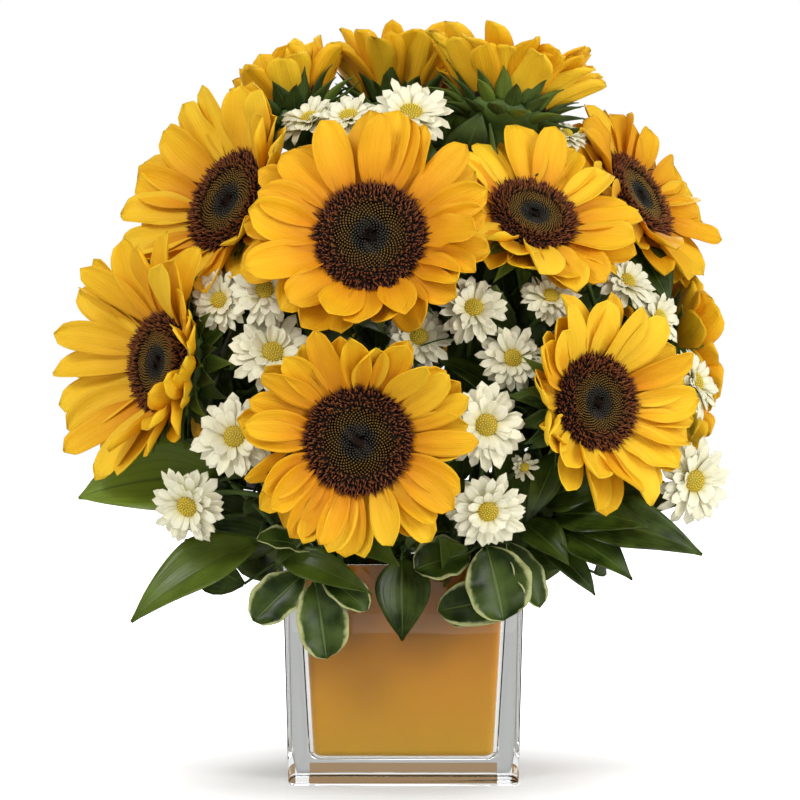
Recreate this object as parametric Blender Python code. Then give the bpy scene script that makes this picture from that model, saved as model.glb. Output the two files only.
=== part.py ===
"""Sunflowers, daisies and greenery in a square glass vase.

Metres, +Z up. The origin is the centre of the vase's flat underside, which stands on Z = 0, and the front of the
arrangement faces -Y. Every stem stands in its own socket of the foam block and fans out from there. Places in the
tables are in millimetres.
"""

import math
from dataclasses import dataclass

import bmesh
import bpy
from mathutils import Matrix, Vector

MM = 0.001
GAP = 0.3 * MM  # clearance between pieces that touch

# Vase: a square cup of thick clear glass, coated inside
VASE_HEIGHT = 116 * MM
VASE_TOP_WIDTH = 127 * MM
VASE_FOOT_WIDTH = 121 * MM
CAVITY_TOP_WIDTH = 111 * MM
CAVITY_FOOT_WIDTH = 99 * MM
BASE_THICKNESS = 13 * MM
OUTER_CORNER = 5 * MM
CAVITY_CORNER = 6 * MM
CORNER_SEGMENTS = 3
LINING_THICKNESS = 1.2 * MM
LINING_TOP = VASE_HEIGHT - 0.6 * MM
CUT_TOP = VASE_HEIGHT + 10 * MM  # top of the blocks that cut the hollows

# Foam and the stems that stand in it
FOAM_TOP = 100 * MM
STEM_BOTTOM = 50 * MM
STEM_EXIT = 104 * MM
FAN_SHARE = 0.8  # a stem's foot is this share of the way out to its mouth
SOCKET_DEPTH_EXTRA = 2 * MM
SOCKET_CLEARANCE = 0.35 * MM

# Sunflowers
PETAL_COUNT = 14
PETAL_THICKNESS = 2 * MM
PETAL_LEVEL = -4 * MM
PETAL_NOTCH = 0.74  # reach of the notch between two petals, as a share of a tip's
DISC_SIDES = 14
DISC_LEVELS = (-7 * MM, -1 * MM, 2 * MM, 3.4 * MM)
DISC_SHARES = (0.96, 1.0, 0.78, 0.3)
CALYX_LEVELS = (-30 * MM, -20 * MM, -13 * MM, DISC_LEVELS[0] - GAP)
CALYX_SHARES = (0.2, 0.42, 0.86, 0.95)
STEM_RADIUS = 4.2 * MM
STEM_SIDES = 7
STEM_BEND_POINTS = 4
STEM_RISE_PULL = 0.45  # how far a stem keeps its first direction, as a share of the way to the head
NECK_PULL = 0.35  # how far it runs straight into the head, as a share of the same way

# Daisy sprays
SPRAY_STEM_RADIUS = 2.1 * MM
BRANCH_RADIUS = 1.5 * MM
BLOOM_LEVELS = (-8 * MM, -3 * MM, 0.5 * MM, 4 * MM)
BLOOM_SHARES = (0.16, 0.72, 1.0, 0.35)
BRANCH_SIDES = 7
BRANCH_BEND_POINTS = 3
FIRST_BRANCH = 2.5 * MM  # how far below the fork the first branch leaves the stem
BRANCH_STEP = 5 * MM  # and how much lower each further one does
TRUNK_BEND_POINTS = 3
TRUNK_PULL = 0.4  # straight share of the trunk at each of its ends

# Leaf sprigs
SPRIG_STEM_RADIUS = 1.9 * MM
SPRIG_CLIMB = 16 * MM  # straight rise after the foam, to clear the rim
PETIOLE_RADIUS = 1.1 * MM
PETIOLE_SIDES = 5
PETIOLE_INSET = 5 * MM
LEAF_THICKNESS = 1.6 * MM
LEAF_ARCH = 0.09  # rise of the blade's middle, as a share of its length
LEAF_SHARES = (0.3, 1.0, 0.84, 0.14)  # widths along the blade, as shares of the widest


@dataclass(frozen=True)
class Sunflower:
    """One flower head: its disc's centre, the way it faces, its radii, the petals' forward lean and its socket."""

    centre: tuple
    facing: tuple
    disc_radius: float
    petal_radius: float
    lean: float
    socket: tuple


@dataclass(frozen=True)
class Bloom:
    """One daisy bloom: its centre, the way it faces and its radius."""

    centre: tuple
    facing: tuple
    radius: float


@dataclass(frozen=True)
class Spray:
    """A branched daisy stem: its socket, the point where it parts into branches, and its blooms."""

    socket: tuple
    fork: tuple
    blooms: tuple


@dataclass(frozen=True)
class Leaf:
    """One leaf blade: where it starts and ends, its width and the way its upper side faces."""

    base: tuple
    tip: tuple
    width: float
    facing: tuple


@dataclass(frozen=True)
class Sprig:
    """A leafy stem: its kind, its socket, the points it passes after leaving the foam, and its leaves."""

    kind: str
    socket: tuple
    route: tuple
    leaves: tuple


SUNFLOWERS = (
    Sunflower((-17, -104, 286), (-0.05, -0.95, 0.28), 28.5, 66, 22, (-6, -24)),
    Sunflower((-92, -44, 307), (-0.67, -0.64, 0.36), 28.5, 65, 32, (-28, -14)),
    Sunflower((-127, -68, 222), (-0.79, -0.61, 0.08), 26, 68, 36, (-43, -18)),
    Sunflower((-23, -124, 182), (0.0, -0.99, -0.06), 27, 61, 26, (-7, -43)),
    Sunflower((68, -60, 299), (0.28, -0.71, 0.64), 23.5, 56, 14, (20, -18)),
    Sunflower((99, -92, 201), (0.54, -0.83, 0.10), 24.5, 58, 30, (34, -34)),
    Sunflower((129, 20, 313), (0.74, -0.45, 0.48), 26, 57, 18, (34, 0)),
    Sunflower((143, 22, 222), (0.92, 0.30, 0.0), 25, 54, 28, (44, 12)),
    Sunflower((56, -8, 364), (0.20, 0.14, 0.95), 24, 58, 56, (14, -1)),
    Sunflower((-2, 40, 368), (0.02, 0.20, 1.0), 21, 53, 52, (0, 14)),
    Sunflower((-63, 10, 361), (-0.30, 0.18, 0.93), 21, 49, 54, (-22, 9)),
    Sunflower((-112, 52, 228), (-0.82, 0.56, 0.15), 26, 60, 26, (-36, 22)),
    Sunflower((-8, 110, 272), (-0.05, 0.95, 0.30), 28, 64, 22, (-4, 38)),
    Sunflower((90, 98, 224), (0.56, 0.80, 0.12), 26, 60, 24, (32, 30)),
)

SPRAYS = (
    Spray(
        (-11, -8),
        (-14, -30, 300),
        (
            Bloom((4, -46, 354), (0.10, -0.75, 0.65), 22),
            Bloom((-29, -50, 352), (-0.15, -0.60, 0.80), 17),
            Bloom((-50, -36, 352), (-0.30, -0.50, 0.80), 17),
        ),
    ),
    Spray(
        (-20, -31),
        (-58, -68, 205),
        (
            Bloom((-67, -100, 227), (0.15, -0.90, 0.40), 21),
            Bloom((-71, -97, 259), (-0.05, -0.88, 0.45), 18),
            Bloom((-95, -86, 254), (-0.40, -0.85, 0.20), 16),
        ),
    ),
    Spray(
        (-33, -38),
        (-66, -78, 150),
        (
            Bloom((-86, -108, 184), (-0.10, -0.97, 0.20), 21),
            Bloom((-111, -94, 148), (-0.35, -0.85, -0.30), 20),
        ),
    ),
    Spray(
        (8, -33),
        (32, -60, 205),
        (
            Bloom((8, -84, 235), (0.0, -0.95, 0.30), 17),
            Bloom((36, -92, 250), (0.10, -0.90, 0.40), 18),
            Bloom((56, -94, 224), (0.20, -0.95, 0.20), 17),
            Bloom((76, -84, 256), (0.20, -0.80, 0.55), 15),
        ),
    ),
    Spray(
        (19, -45),
        (36, -80, 146),
        (
            Bloom((42, -112, 190), (0.05, -0.99, 0.10), 21),
            Bloom((62, -96, 168), (0.15, -0.95, 0.10), 8),
            Bloom((43, -108, 146), (0.05, -0.97, -0.20), 19),
        ),
    ),
    Spray(
        (45, -13),
        (108, -26, 205),
        (
            Bloom((118, -50, 265), (0.50, -0.70, 0.50), 16),
            Bloom((135, -44, 246), (0.60, -0.75, 0.20), 15),
            Bloom((155, -44, 212), (0.80, -0.50, 0.30), 18),
            Bloom((152, -66, 160), (0.50, -0.80, -0.10), 22),
            Bloom((88, -12, 345), (0.30, -0.40, 0.85), 12),
        ),
    ),
    Spray(
        (-20, 38),
        (-52, 76, 190),
        (
            Bloom((-58, 86, 306), (-0.35, 0.60, 0.70), 19),
            Bloom((-62, 108, 228), (-0.35, 0.90, 0.20), 19),
            Bloom((-38, 120, 180), (-0.15, 0.97, 0.05), 20),
            Bloom((-112, 62, 155), (-0.80, 0.55, -0.10), 20),
        ),
    ),
    Spray(
        (18, 42),
        (40, 80, 185),
        (
            Bloom((48, 84, 312), (0.30, 0.60, 0.70), 19),
            Bloom((42, 116, 226), (0.20, 0.95, 0.20), 18),
            Bloom((16, 122, 184), (0.05, 0.99, 0.0), 19),
            Bloom((66, 112, 150), (0.35, 0.90, -0.15), 20),
        ),
    ),
)

SPRIGS = (
    Sprig(
        "ruscus",
        (-45, -34),
        ((-60, -56, 127), (-72, -60, 142), (-90, -50, 158)),
        (
            Leaf((-98, -50, 164), (-171, -44, 153), 36, (-0.1, -0.75, 0.6)),
            Leaf((-76, -66, 128), (-138, -78, 84), 29, (-0.4, -0.8, 0.45)),
            Leaf((-62, -69, 124), (-18, -69, 104), 15, (0.0, -1.0, 0.1)),
            Leaf((-84, -42, 156), (-122, -12, 178), 24, (-0.5, -0.3, 0.8)),
        ),
    ),
    Sprig(
        "ruscus",
        (1, -46),
        ((2, -58, 127), (0, -70, 125)),
        (
            Leaf((-1, -72, 120), (1, -77, 78), 29, (0.0, -1.0, 0.1)),
            Leaf((3, -68, 125), (24, -92, 134), 17, (0.2, -0.5, 0.8)),
        ),
    ),
    Sprig(
        "ruscus",
        (46, -35),
        ((60, -54, 127), (74, -62, 136), (84, -64, 144)),
        (
            Leaf((88, -62, 147), (150, -44, 147), 23, (0.1, -0.6, 0.8)),
            Leaf((84, -68, 140), (155, -72, 124), 22, (0.2, -0.75, 0.6)),
            Leaf((80, -70, 134), (117, -82, 108), 20, (0.3, -0.8, 0.5)),
            Leaf((72, -68, 128), (98, -78, 100), 15, (0.4, -0.85, 0.3)),
            Leaf((80, -60, 146), (126, -22, 132), 24, (0.5, 0.2, 0.8)),
        ),
    ),
    Sprig(
        "ruscus",
        (2, 46),
        ((2, 58, 127), (4, 72, 134)),
        (
            Leaf((0, 76, 134), (-28, 112, 106), 26, (-0.3, 0.75, 0.6)),
            Leaf((4, 76, 131), (2, 98, 84), 29, (0.0, 0.9, 0.3)),
            Leaf((8, 76, 134), (42, 108, 104), 26, (0.3, 0.75, 0.6)),
        ),
    ),
    Sprig(
        "pittosporum",
        (-31, -46),
        ((-34, -58, 127), (-40, -70, 131), (-46, -80, 121)),
        (
            Leaf((-52, -78, 112), (-76, -83, 88), 24, (-0.2, -0.95, 0.2)),
            Leaf((-46, -80, 108), (-39, -84, 70), 27, (0.1, -1.0, 0.1)),
            Leaf((-42, -84, 112), (-20, -90, 94), 18, (0.3, -0.9, 0.3)),
            Leaf((-46, -78, 124), (-75, -92, 131), 17, (-0.1, -0.7, 0.7)),
        ),
    ),
    Sprig(
        "pittosporum",
        (32, -46),
        ((36, -58, 127), (42, -71, 127)),
        (
            Leaf((34, -75, 123), (7, -84, 114), 24, (-0.1, -0.9, 0.4)),
            Leaf((43, -79, 126), (53, -86, 90), 33, (0.1, -0.95, 0.3)),
            Leaf((57, -68.5, 108), (24, -69, 88), 17, (0.0, -1.0, 0.0)),
            Leaf((54, -74, 128), (71, -80, 96), 16, (0.5, -0.85, 0.2)),
        ),
    ),
    Sprig(
        "pittosporum",
        (-38, 42),
        ((-46, 58, 127), (-50, 72, 126)),
        (
            Leaf((-54, 76, 122), (-80, 84, 98), 26, (-0.3, 0.9, 0.3)),
            Leaf((-50, 78, 120), (-46, 84, 84), 27, (0.0, 1.0, 0.1)),
            Leaf((-60, 66, 126), (-92, 50, 116), 22, (-0.6, 0.3, 0.7)),
        ),
    ),
)


def clear_scene():
    """Removes every object, so that the part starts from nothing."""
    for old in list(bpy.data.objects):
        bpy.data.objects.remove(old, do_unlink=True)


def material(name, colour, roughness, alpha=1.0):
    """A Principled material of one colour."""
    made = bpy.data.materials.new(name)
    made.use_nodes = True
    shader = made.node_tree.nodes["Principled BSDF"]
    shader.inputs["Base Color"].default_value = (*colour, 1.0)
    shader.inputs["Roughness"].default_value = roughness
    shader.inputs["Metallic"].default_value = 0.0
    shader.inputs["Alpha"].default_value = alpha
    return made


def add_object(name, bm, surface):
    """Turns a bmesh into a named object of the scene, with its faces pointing out."""
    bmesh.ops.recalc_face_normals(bm, faces=bm.faces[:])
    mesh = bpy.data.meshes.new(name)
    bm.to_mesh(mesh)
    bm.free()
    mesh.materials.append(surface)
    made = bpy.data.objects.new(name, mesh)
    bpy.context.scene.collection.objects.link(made)
    return made


def shade_round(made, crease=math.radians(40)):
    """Shades an object smooth, and keeps its edges sharper than the crease angle."""
    made.data.shade_smooth()
    made.data.set_sharp_from_angle(angle=crease)


def apply_modifiers(made):
    """Replaces an object's mesh by the one that its modifiers give."""
    graph = bpy.context.evaluated_depsgraph_get()
    result = bpy.data.meshes.new_from_object(made.evaluated_get(graph))
    made.modifiers.clear()
    made.data = result


def boolean(made, other, operation, with_itself=False):
    """Cuts an object with another, or joins the other to it, and removes the other."""
    cut = made.modifiers.new(operation.title(), "BOOLEAN")
    cut.operation = operation
    cut.solver = "EXACT"
    cut.use_self = with_itself
    cut.object = other
    apply_modifiers(made)
    bpy.data.objects.remove(other, do_unlink=True)


def metres(point):
    """A table's place, from millimetres to metres."""
    return Vector(point) * MM


def bezier(start, start_pull, end_pull, end, count):
    """Points along a cubic curve, its start left out."""
    points = []
    for step in range(1, count + 1):
        t = step / count
        u = 1 - t
        points.append(u**3 * start + 3 * u * u * t * start_pull + 3 * u * t * t * end_pull + t**3 * end)
    return points


def path_directions(path):
    """The direction of travel at each point of a path."""
    last = len(path) - 1
    return [(path[min(i + 1, last)] - path[max(i - 1, 0)]).normalized() for i in range(last + 1)]


def new_part(geometry, kind):
    """The elements of one kind in what a bmesh operator returned."""
    return [element for element in geometry if isinstance(element, kind)]


def extrude_ring(bm, edges):
    """Extrudes a closed ring of edges, and gives the new ring's vertices and edges."""
    geometry = bmesh.ops.extrude_edge_only(bm, edges=edges)["geom"]
    verts = new_part(geometry, bmesh.types.BMVert)
    fresh = set(verts)
    ring = [e for e in new_part(geometry, bmesh.types.BMEdge) if fresh.issuperset(e.verts)]
    return verts, ring


def circle(bm, sides, matrix):
    """Adds a unit circle of edges at a matrix, and gives its edges."""
    verts = bmesh.ops.create_circle(bm, segments=sides, radius=1.0, matrix=matrix)["verts"]
    return list({edge for vert in verts for edge in vert.link_edges})


def sweep(bm, path, radii, sides):
    """Adds a closed round body along a path: a circle extruded from point to point, capped at both ends."""
    directions = path_directions(path)
    turn = directions[0].to_track_quat("Z", "Y")
    here = Matrix.LocRotScale(path[0], turn, (radii[0],) * 3)
    ring = circle(bm, sides, here)
    bmesh.ops.edgeloop_fill(bm, edges=ring)
    for i in range(1, len(path)):
        turn = directions[i - 1].rotation_difference(directions[i]) @ turn
        there = Matrix.LocRotScale(path[i], turn, (radii[i],) * 3)
        verts, ring = extrude_ring(bm, ring)
        bmesh.ops.transform(bm, matrix=there @ here.inverted(), verts=verts)
        here = there
    bmesh.ops.edgeloop_fill(bm, edges=ring)


def tapered_block(name, low, high, low_width, high_width, corner, surface):
    """A square block between two heights, wider at the top, with rounded upright corners."""
    bm = bmesh.new()
    bmesh.ops.create_cube(bm, size=1.0, matrix=Matrix.Translation((0, 0, 0.5)))
    upright = [e for e in bm.edges if abs(e.verts[0].co.z - e.verts[1].co.z) > 0.5]
    for vert in bm.verts:
        width = high_width if vert.co.z > 0.5 else low_width
        vert.co = (vert.co.x * width, vert.co.y * width, high if vert.co.z > 0.5 else low)
    bmesh.ops.bevel(
        bm, geom=upright, offset=corner, segments=CORNER_SEGMENTS, profile=0.5, affect="EDGES", material=-1
    )
    return add_object(name, bm, surface)


def cavity_width(height):
    """Width of the glass cavity at a height."""
    share = (height - BASE_THICKNESS) / (VASE_HEIGHT - BASE_THICKNESS)
    return CAVITY_FOOT_WIDTH + (CAVITY_TOP_WIDTH - CAVITY_FOOT_WIDTH) * share


def cavity_block(name, low, high, inset, surface):
    """A block that follows the cavity's walls at a distance."""
    corner = CAVITY_CORNER - inset
    low_width = cavity_width(low) - 2 * inset
    high_width = cavity_width(high) - 2 * inset
    return tapered_block(name, low, high, low_width, high_width, corner, surface)


def build_vase(glass, coat):
    """The clear glass cup, and the coloured coat inside it as a thin cup of its own."""
    cup = tapered_block("vase_glass", 0.0, VASE_HEIGHT, VASE_FOOT_WIDTH, VASE_TOP_WIDTH, OUTER_CORNER, glass)
    boolean(cup, cavity_block("cavity", BASE_THICKNESS, CUT_TOP, 0.0, glass), "DIFFERENCE")
    floor = BASE_THICKNESS + GAP
    lining = cavity_block("vase_colour_lining", floor, LINING_TOP, GAP, coat)
    inside = cavity_block("inside", floor + LINING_THICKNESS, CUT_TOP, GAP + LINING_THICKNESS, coat)
    boolean(lining, inside, "DIFFERENCE")
    for piece in (cup, lining):
        shade_round(piece)


def stem_start(socket):
    """The straight lower end of a stem: its foot in the foam, its exit above it and its direction."""
    mouth = metres((*socket, 0.0))
    foot = Vector((mouth.x * FAN_SHARE, mouth.y * FAN_SHARE, STEM_BOTTOM))
    direction = (Vector((mouth.x, mouth.y, FOAM_TOP)) - foot).normalized()
    way_out = foot + direction * (STEM_EXIT - STEM_BOTTOM) / direction.z
    return foot, way_out, direction


def build_foam(surface):
    """The block of wet foam, with one open socket for each stem."""
    inset = 2 * GAP + LINING_THICKNESS
    block = cavity_block("foam_block", BASE_THICKNESS + inset, FOAM_TOP, inset, surface)
    bm = bmesh.new()
    sockets = [(flower.socket, STEM_RADIUS) for flower in SUNFLOWERS]
    sockets += [(spray.socket, SPRAY_STEM_RADIUS) for spray in SPRAYS]
    sockets += [(sprig.socket, SPRIG_STEM_RADIUS) for sprig in SPRIGS]
    for socket, radius in sockets:
        foot, way_out, direction = stem_start(socket)
        ends = [foot - direction * SOCKET_DEPTH_EXTRA, way_out + direction * SOCKET_DEPTH_EXTRA]
        sweep(bm, ends, [radius + SOCKET_CLEARANCE] * 2, STEM_SIDES)
    boolean(block, add_object("sockets", bm, surface), "DIFFERENCE")


def head_frame(centre, facing):
    """A matrix whose origin is a flower's centre and whose Z is the way it faces."""
    turn = Vector(facing).normalized().to_track_quat("Z", "Y")
    return Matrix.LocRotScale(metres(centre), turn, None)


def head_path(start, direction, frame, levels, bends):
    """Points from a stem's start to the back of a head, and on through the given levels behind or in the head."""
    neck = frame @ Vector((0, 0, levels[0]))
    facing = frame.to_3x3() @ Vector((0, 0, 1))
    distance = (neck - start).length
    rise = start + direction * distance * STEM_RISE_PULL
    points = bezier(start, rise, neck - facing * distance * NECK_PULL, neck, bends)
    return points + [frame @ Vector((0, 0, level)) for level in levels[1:]]


def build_sunflower(number, flower, stem_surface, petal_surface, disc_surface):
    """A stem with its calyx, a corolla of petals round the rim, and the domed disc."""
    label = f"sunflower_{number:02d}"
    frame = head_frame(flower.centre, flower.facing)
    disc_radius = flower.disc_radius * MM
    foot, way_out, direction = stem_start(flower.socket)
    path = [foot, way_out] + head_path(way_out, direction, frame, CALYX_LEVELS, STEM_BEND_POINTS)
    radii = [STEM_RADIUS] * (1 + STEM_BEND_POINTS) + [disc_radius * share for share in CALYX_SHARES]
    bm = bmesh.new()
    sweep(bm, path, radii, STEM_SIDES)
    shade_round(add_object(f"{label}_stem", bm, stem_surface))

    bm = bmesh.new()
    levels = [Vector((0, 0, level)) for level in DISC_LEVELS]
    sweep(bm, levels, [disc_radius * share for share in DISC_SHARES], DISC_SIDES)
    disc = add_object(f"{label}_disc", bm, disc_surface)
    disc.matrix_world = frame
    shade_round(disc)

    inner = (disc_radius + GAP) / math.cos(math.pi / (2 * PETAL_COUNT))
    build_corolla(f"{label}_petals", inner, flower.petal_radius * MM, flower.lean, frame, petal_surface)


def build_corolla(name, inner, outer, lean, frame, surface):
    """A ring of joined petals: a circle drawn outward, with every second point held back as a notch."""
    bm = bmesh.new()
    ring = circle(bm, 2 * PETAL_COUNT, Matrix.LocRotScale((0, 0, PETAL_LEVEL), None, (inner,) * 3))
    slope = math.radians(lean)
    for vert in extrude_ring(bm, ring)[0]:
        turn = math.atan2(vert.co.y, vert.co.x)
        notched = round(turn * PETAL_COUNT / math.pi) % 2
        length = outer * (PETAL_NOTCH if notched else 1.0) - inner
        reach = inner + length * math.cos(slope)
        vert.co = (reach * math.cos(turn), reach * math.sin(turn), PETAL_LEVEL + length * math.sin(slope))
    corolla = add_object(name, bm, surface)
    corolla.matrix_world = frame
    wall = corolla.modifiers.new("Thickness", "SOLIDIFY")
    wall.thickness = PETAL_THICKNESS
    wall.offset = 0.0
    shade_round(corolla)


def fuse(name, first, others, surface):
    """One closed body from a main stem and everything that grows from it."""
    body = add_object(name, first, surface)
    boolean(body, add_object("growth", others, surface), "UNION", with_itself=True)
    shade_round(body)


def build_spray(number, spray, surface):
    """A daisy stem that forks into branches, each ending in a bloom."""
    foot, way_out, direction = stem_start(spray.socket)
    fork = metres(spray.fork)
    climb = fork - way_out
    rise = way_out + direction * climb.length * TRUNK_PULL
    trunk = [foot, way_out] + bezier(way_out, rise, fork - climb * TRUNK_PULL, fork, TRUNK_BEND_POINTS)
    main = bmesh.new()
    sweep(main, trunk, [SPRAY_STEM_RADIUS] * len(trunk), BRANCH_SIDES)
    growth = bmesh.new()
    rising = (trunk[-1] - trunk[-2]).normalized()
    for order, bloom in enumerate(spray.blooms):
        frame = head_frame(bloom.centre, bloom.facing)
        start = fork - rising * (FIRST_BRANCH + BRANCH_STEP * order)
        path = [start] + head_path(start, rising, frame, BLOOM_LEVELS, BRANCH_BEND_POINTS)
        shares = [bloom.radius * MM * share for share in BLOOM_SHARES]
        sweep(growth, path, [BRANCH_RADIUS] * BRANCH_BEND_POINTS + shares, BRANCH_SIDES)
    fuse(f"daisy_spray_{number}", main, growth, surface)


def leaf_frame(leaf):
    """A matrix with X from a leaf's base to its tip and Z out of its upper side, and the leaf's length."""
    along = metres(leaf.tip) - metres(leaf.base)
    x_axis = along.normalized()
    y_axis = Vector(leaf.facing).cross(x_axis).normalized()
    turn = Matrix((x_axis, y_axis, x_axis.cross(y_axis))).transposed().to_4x4()
    return Matrix.Translation(metres(leaf.base)) @ turn, along.length


def add_blade(bm, leaf):
    """Adds a leaf blade: a grid drawn to the leaf's outline, arched along its length and given thickness."""
    frame, length = leaf_frame(leaf)
    columns = len(LEAF_SHARES) - 1
    made = bmesh.ops.create_grid(bm, x_segments=columns, y_segments=2, size=0.5)["verts"]
    for vert in made:
        along = vert.co.x + 0.5
        share = LEAF_SHARES[round(along * columns)]
        rise = LEAF_ARCH * length * 4 * along * (1 - along)
        vert.co = frame @ Vector((along * length, vert.co.y * share * leaf.width * MM, rise))
    faces = list({face for vert in made for face in vert.link_faces})
    bmesh.ops.recalc_face_normals(bm, faces=faces)
    bmesh.ops.solidify(bm, geom=faces, thickness=LEAF_THICKNESS)


def build_sprig(label, sprig, surface):
    """A leafy stem that leans over the rim, with its leaves on short stalks."""
    foot, way_out, direction = stem_start(sprig.socket)
    route = [foot, way_out, way_out + direction * SPRIG_CLIMB] + [metres(point) for point in sprig.route]
    main = bmesh.new()
    sweep(main, route, [SPRIG_STEM_RADIUS] * len(route), STEM_SIDES)
    growth = bmesh.new()
    for leaf in sprig.leaves:
        frame = leaf_frame(leaf)[0]
        base = metres(leaf.base)
        node = min(route[3:], key=lambda point: (point - base).length)
        end = frame @ Vector((PETIOLE_INSET, 0, 0))
        sweep(growth, [node, base, end], [PETIOLE_RADIUS] * 3, PETIOLE_SIDES)
        add_blade(growth, leaf)
    fuse(label, main, growth, surface)


def main():
    """Builds every piece."""
    clear_scene()
    build_vase(material("glass", (0.93, 0.95, 0.94), 0.05, 0.35), material("amber_coat", (0.72, 0.38, 0.06), 0.25))
    build_foam(material("foam", (0.10, 0.22, 0.10), 0.95))
    stem = material("stem", (0.16, 0.30, 0.07), 0.6)
    petal = material("petal", (0.90, 0.52, 0.03), 0.55)
    disc = material("disc", (0.06, 0.03, 0.015), 0.9)
    for number, flower in enumerate(SUNFLOWERS, 1):
        build_sunflower(number, flower, stem, petal, disc)
    daisy = material("daisy", (0.88, 0.86, 0.72), 0.6)
    for number, spray in enumerate(SPRAYS, 1):
        build_spray(number, spray, daisy)
    leaves = {
        "ruscus": material("ruscus_leaf", (0.05, 0.14, 0.03), 0.35),
        "pittosporum": material("pittosporum_leaf", (0.10, 0.20, 0.05), 0.35),
    }
    counts = dict.fromkeys(leaves, 0)
    for sprig in SPRIGS:
        counts[sprig.kind] += 1
        build_sprig(f"{sprig.kind}_sprig_{counts[sprig.kind]}", sprig, leaves[sprig.kind])


main()
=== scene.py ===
"""Sunflowers, daisies and greenery in an amber-coated glass vase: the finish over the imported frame.

Every sunflower is measured from its own frame nodes. Places in the tables are in millimetres, in the
frame's axes.
"""

import logging
import math
import random
from dataclasses import dataclass
from enum import Enum

import bmesh
import bpy
import numpy as np
from mathutils import Matrix, Vector


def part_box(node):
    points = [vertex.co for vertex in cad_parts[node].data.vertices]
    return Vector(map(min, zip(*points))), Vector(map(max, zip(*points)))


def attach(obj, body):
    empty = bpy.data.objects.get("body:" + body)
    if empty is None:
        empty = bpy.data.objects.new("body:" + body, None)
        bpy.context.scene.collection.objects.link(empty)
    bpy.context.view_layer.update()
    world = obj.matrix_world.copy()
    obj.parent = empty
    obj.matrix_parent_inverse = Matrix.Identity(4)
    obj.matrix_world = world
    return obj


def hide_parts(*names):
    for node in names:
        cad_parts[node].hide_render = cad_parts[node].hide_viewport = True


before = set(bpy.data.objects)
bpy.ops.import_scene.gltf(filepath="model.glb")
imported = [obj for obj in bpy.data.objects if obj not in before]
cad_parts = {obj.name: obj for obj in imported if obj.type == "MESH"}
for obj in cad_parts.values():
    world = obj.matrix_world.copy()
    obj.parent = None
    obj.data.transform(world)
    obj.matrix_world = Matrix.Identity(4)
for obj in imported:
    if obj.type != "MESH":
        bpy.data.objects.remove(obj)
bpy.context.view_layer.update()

LOG = logging.getLogger("arrangement")
MM = 0.001
ROOT = "root"
UV_NAME = "blade"
GOLDEN_ANGLE = math.pi * (3 - math.sqrt(5))

Colour = tuple[float, float, float]
Triple = tuple[float, float, float]
Pair = tuple[float, float]
Socket = bpy.types.NodeSocket
Mesh = bmesh.types.BMesh
Material = bpy.types.Material
Piece = bpy.types.Object


class Slot(Enum):
    """Names of the material slots."""

    GLASS = "clear_glass"
    COAT = "amber_coat"
    STEM = "green_stem"
    PETAL = "yellow_petal"
    FLORET = "brown_floret"
    DAISY = "white_daisy"
    DARK_LEAF = "dark_leaf"
    EDGED_LEAF = "edged_leaf"


# ----------------------------------------------------------------------------------------------------
# Finishes


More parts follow.
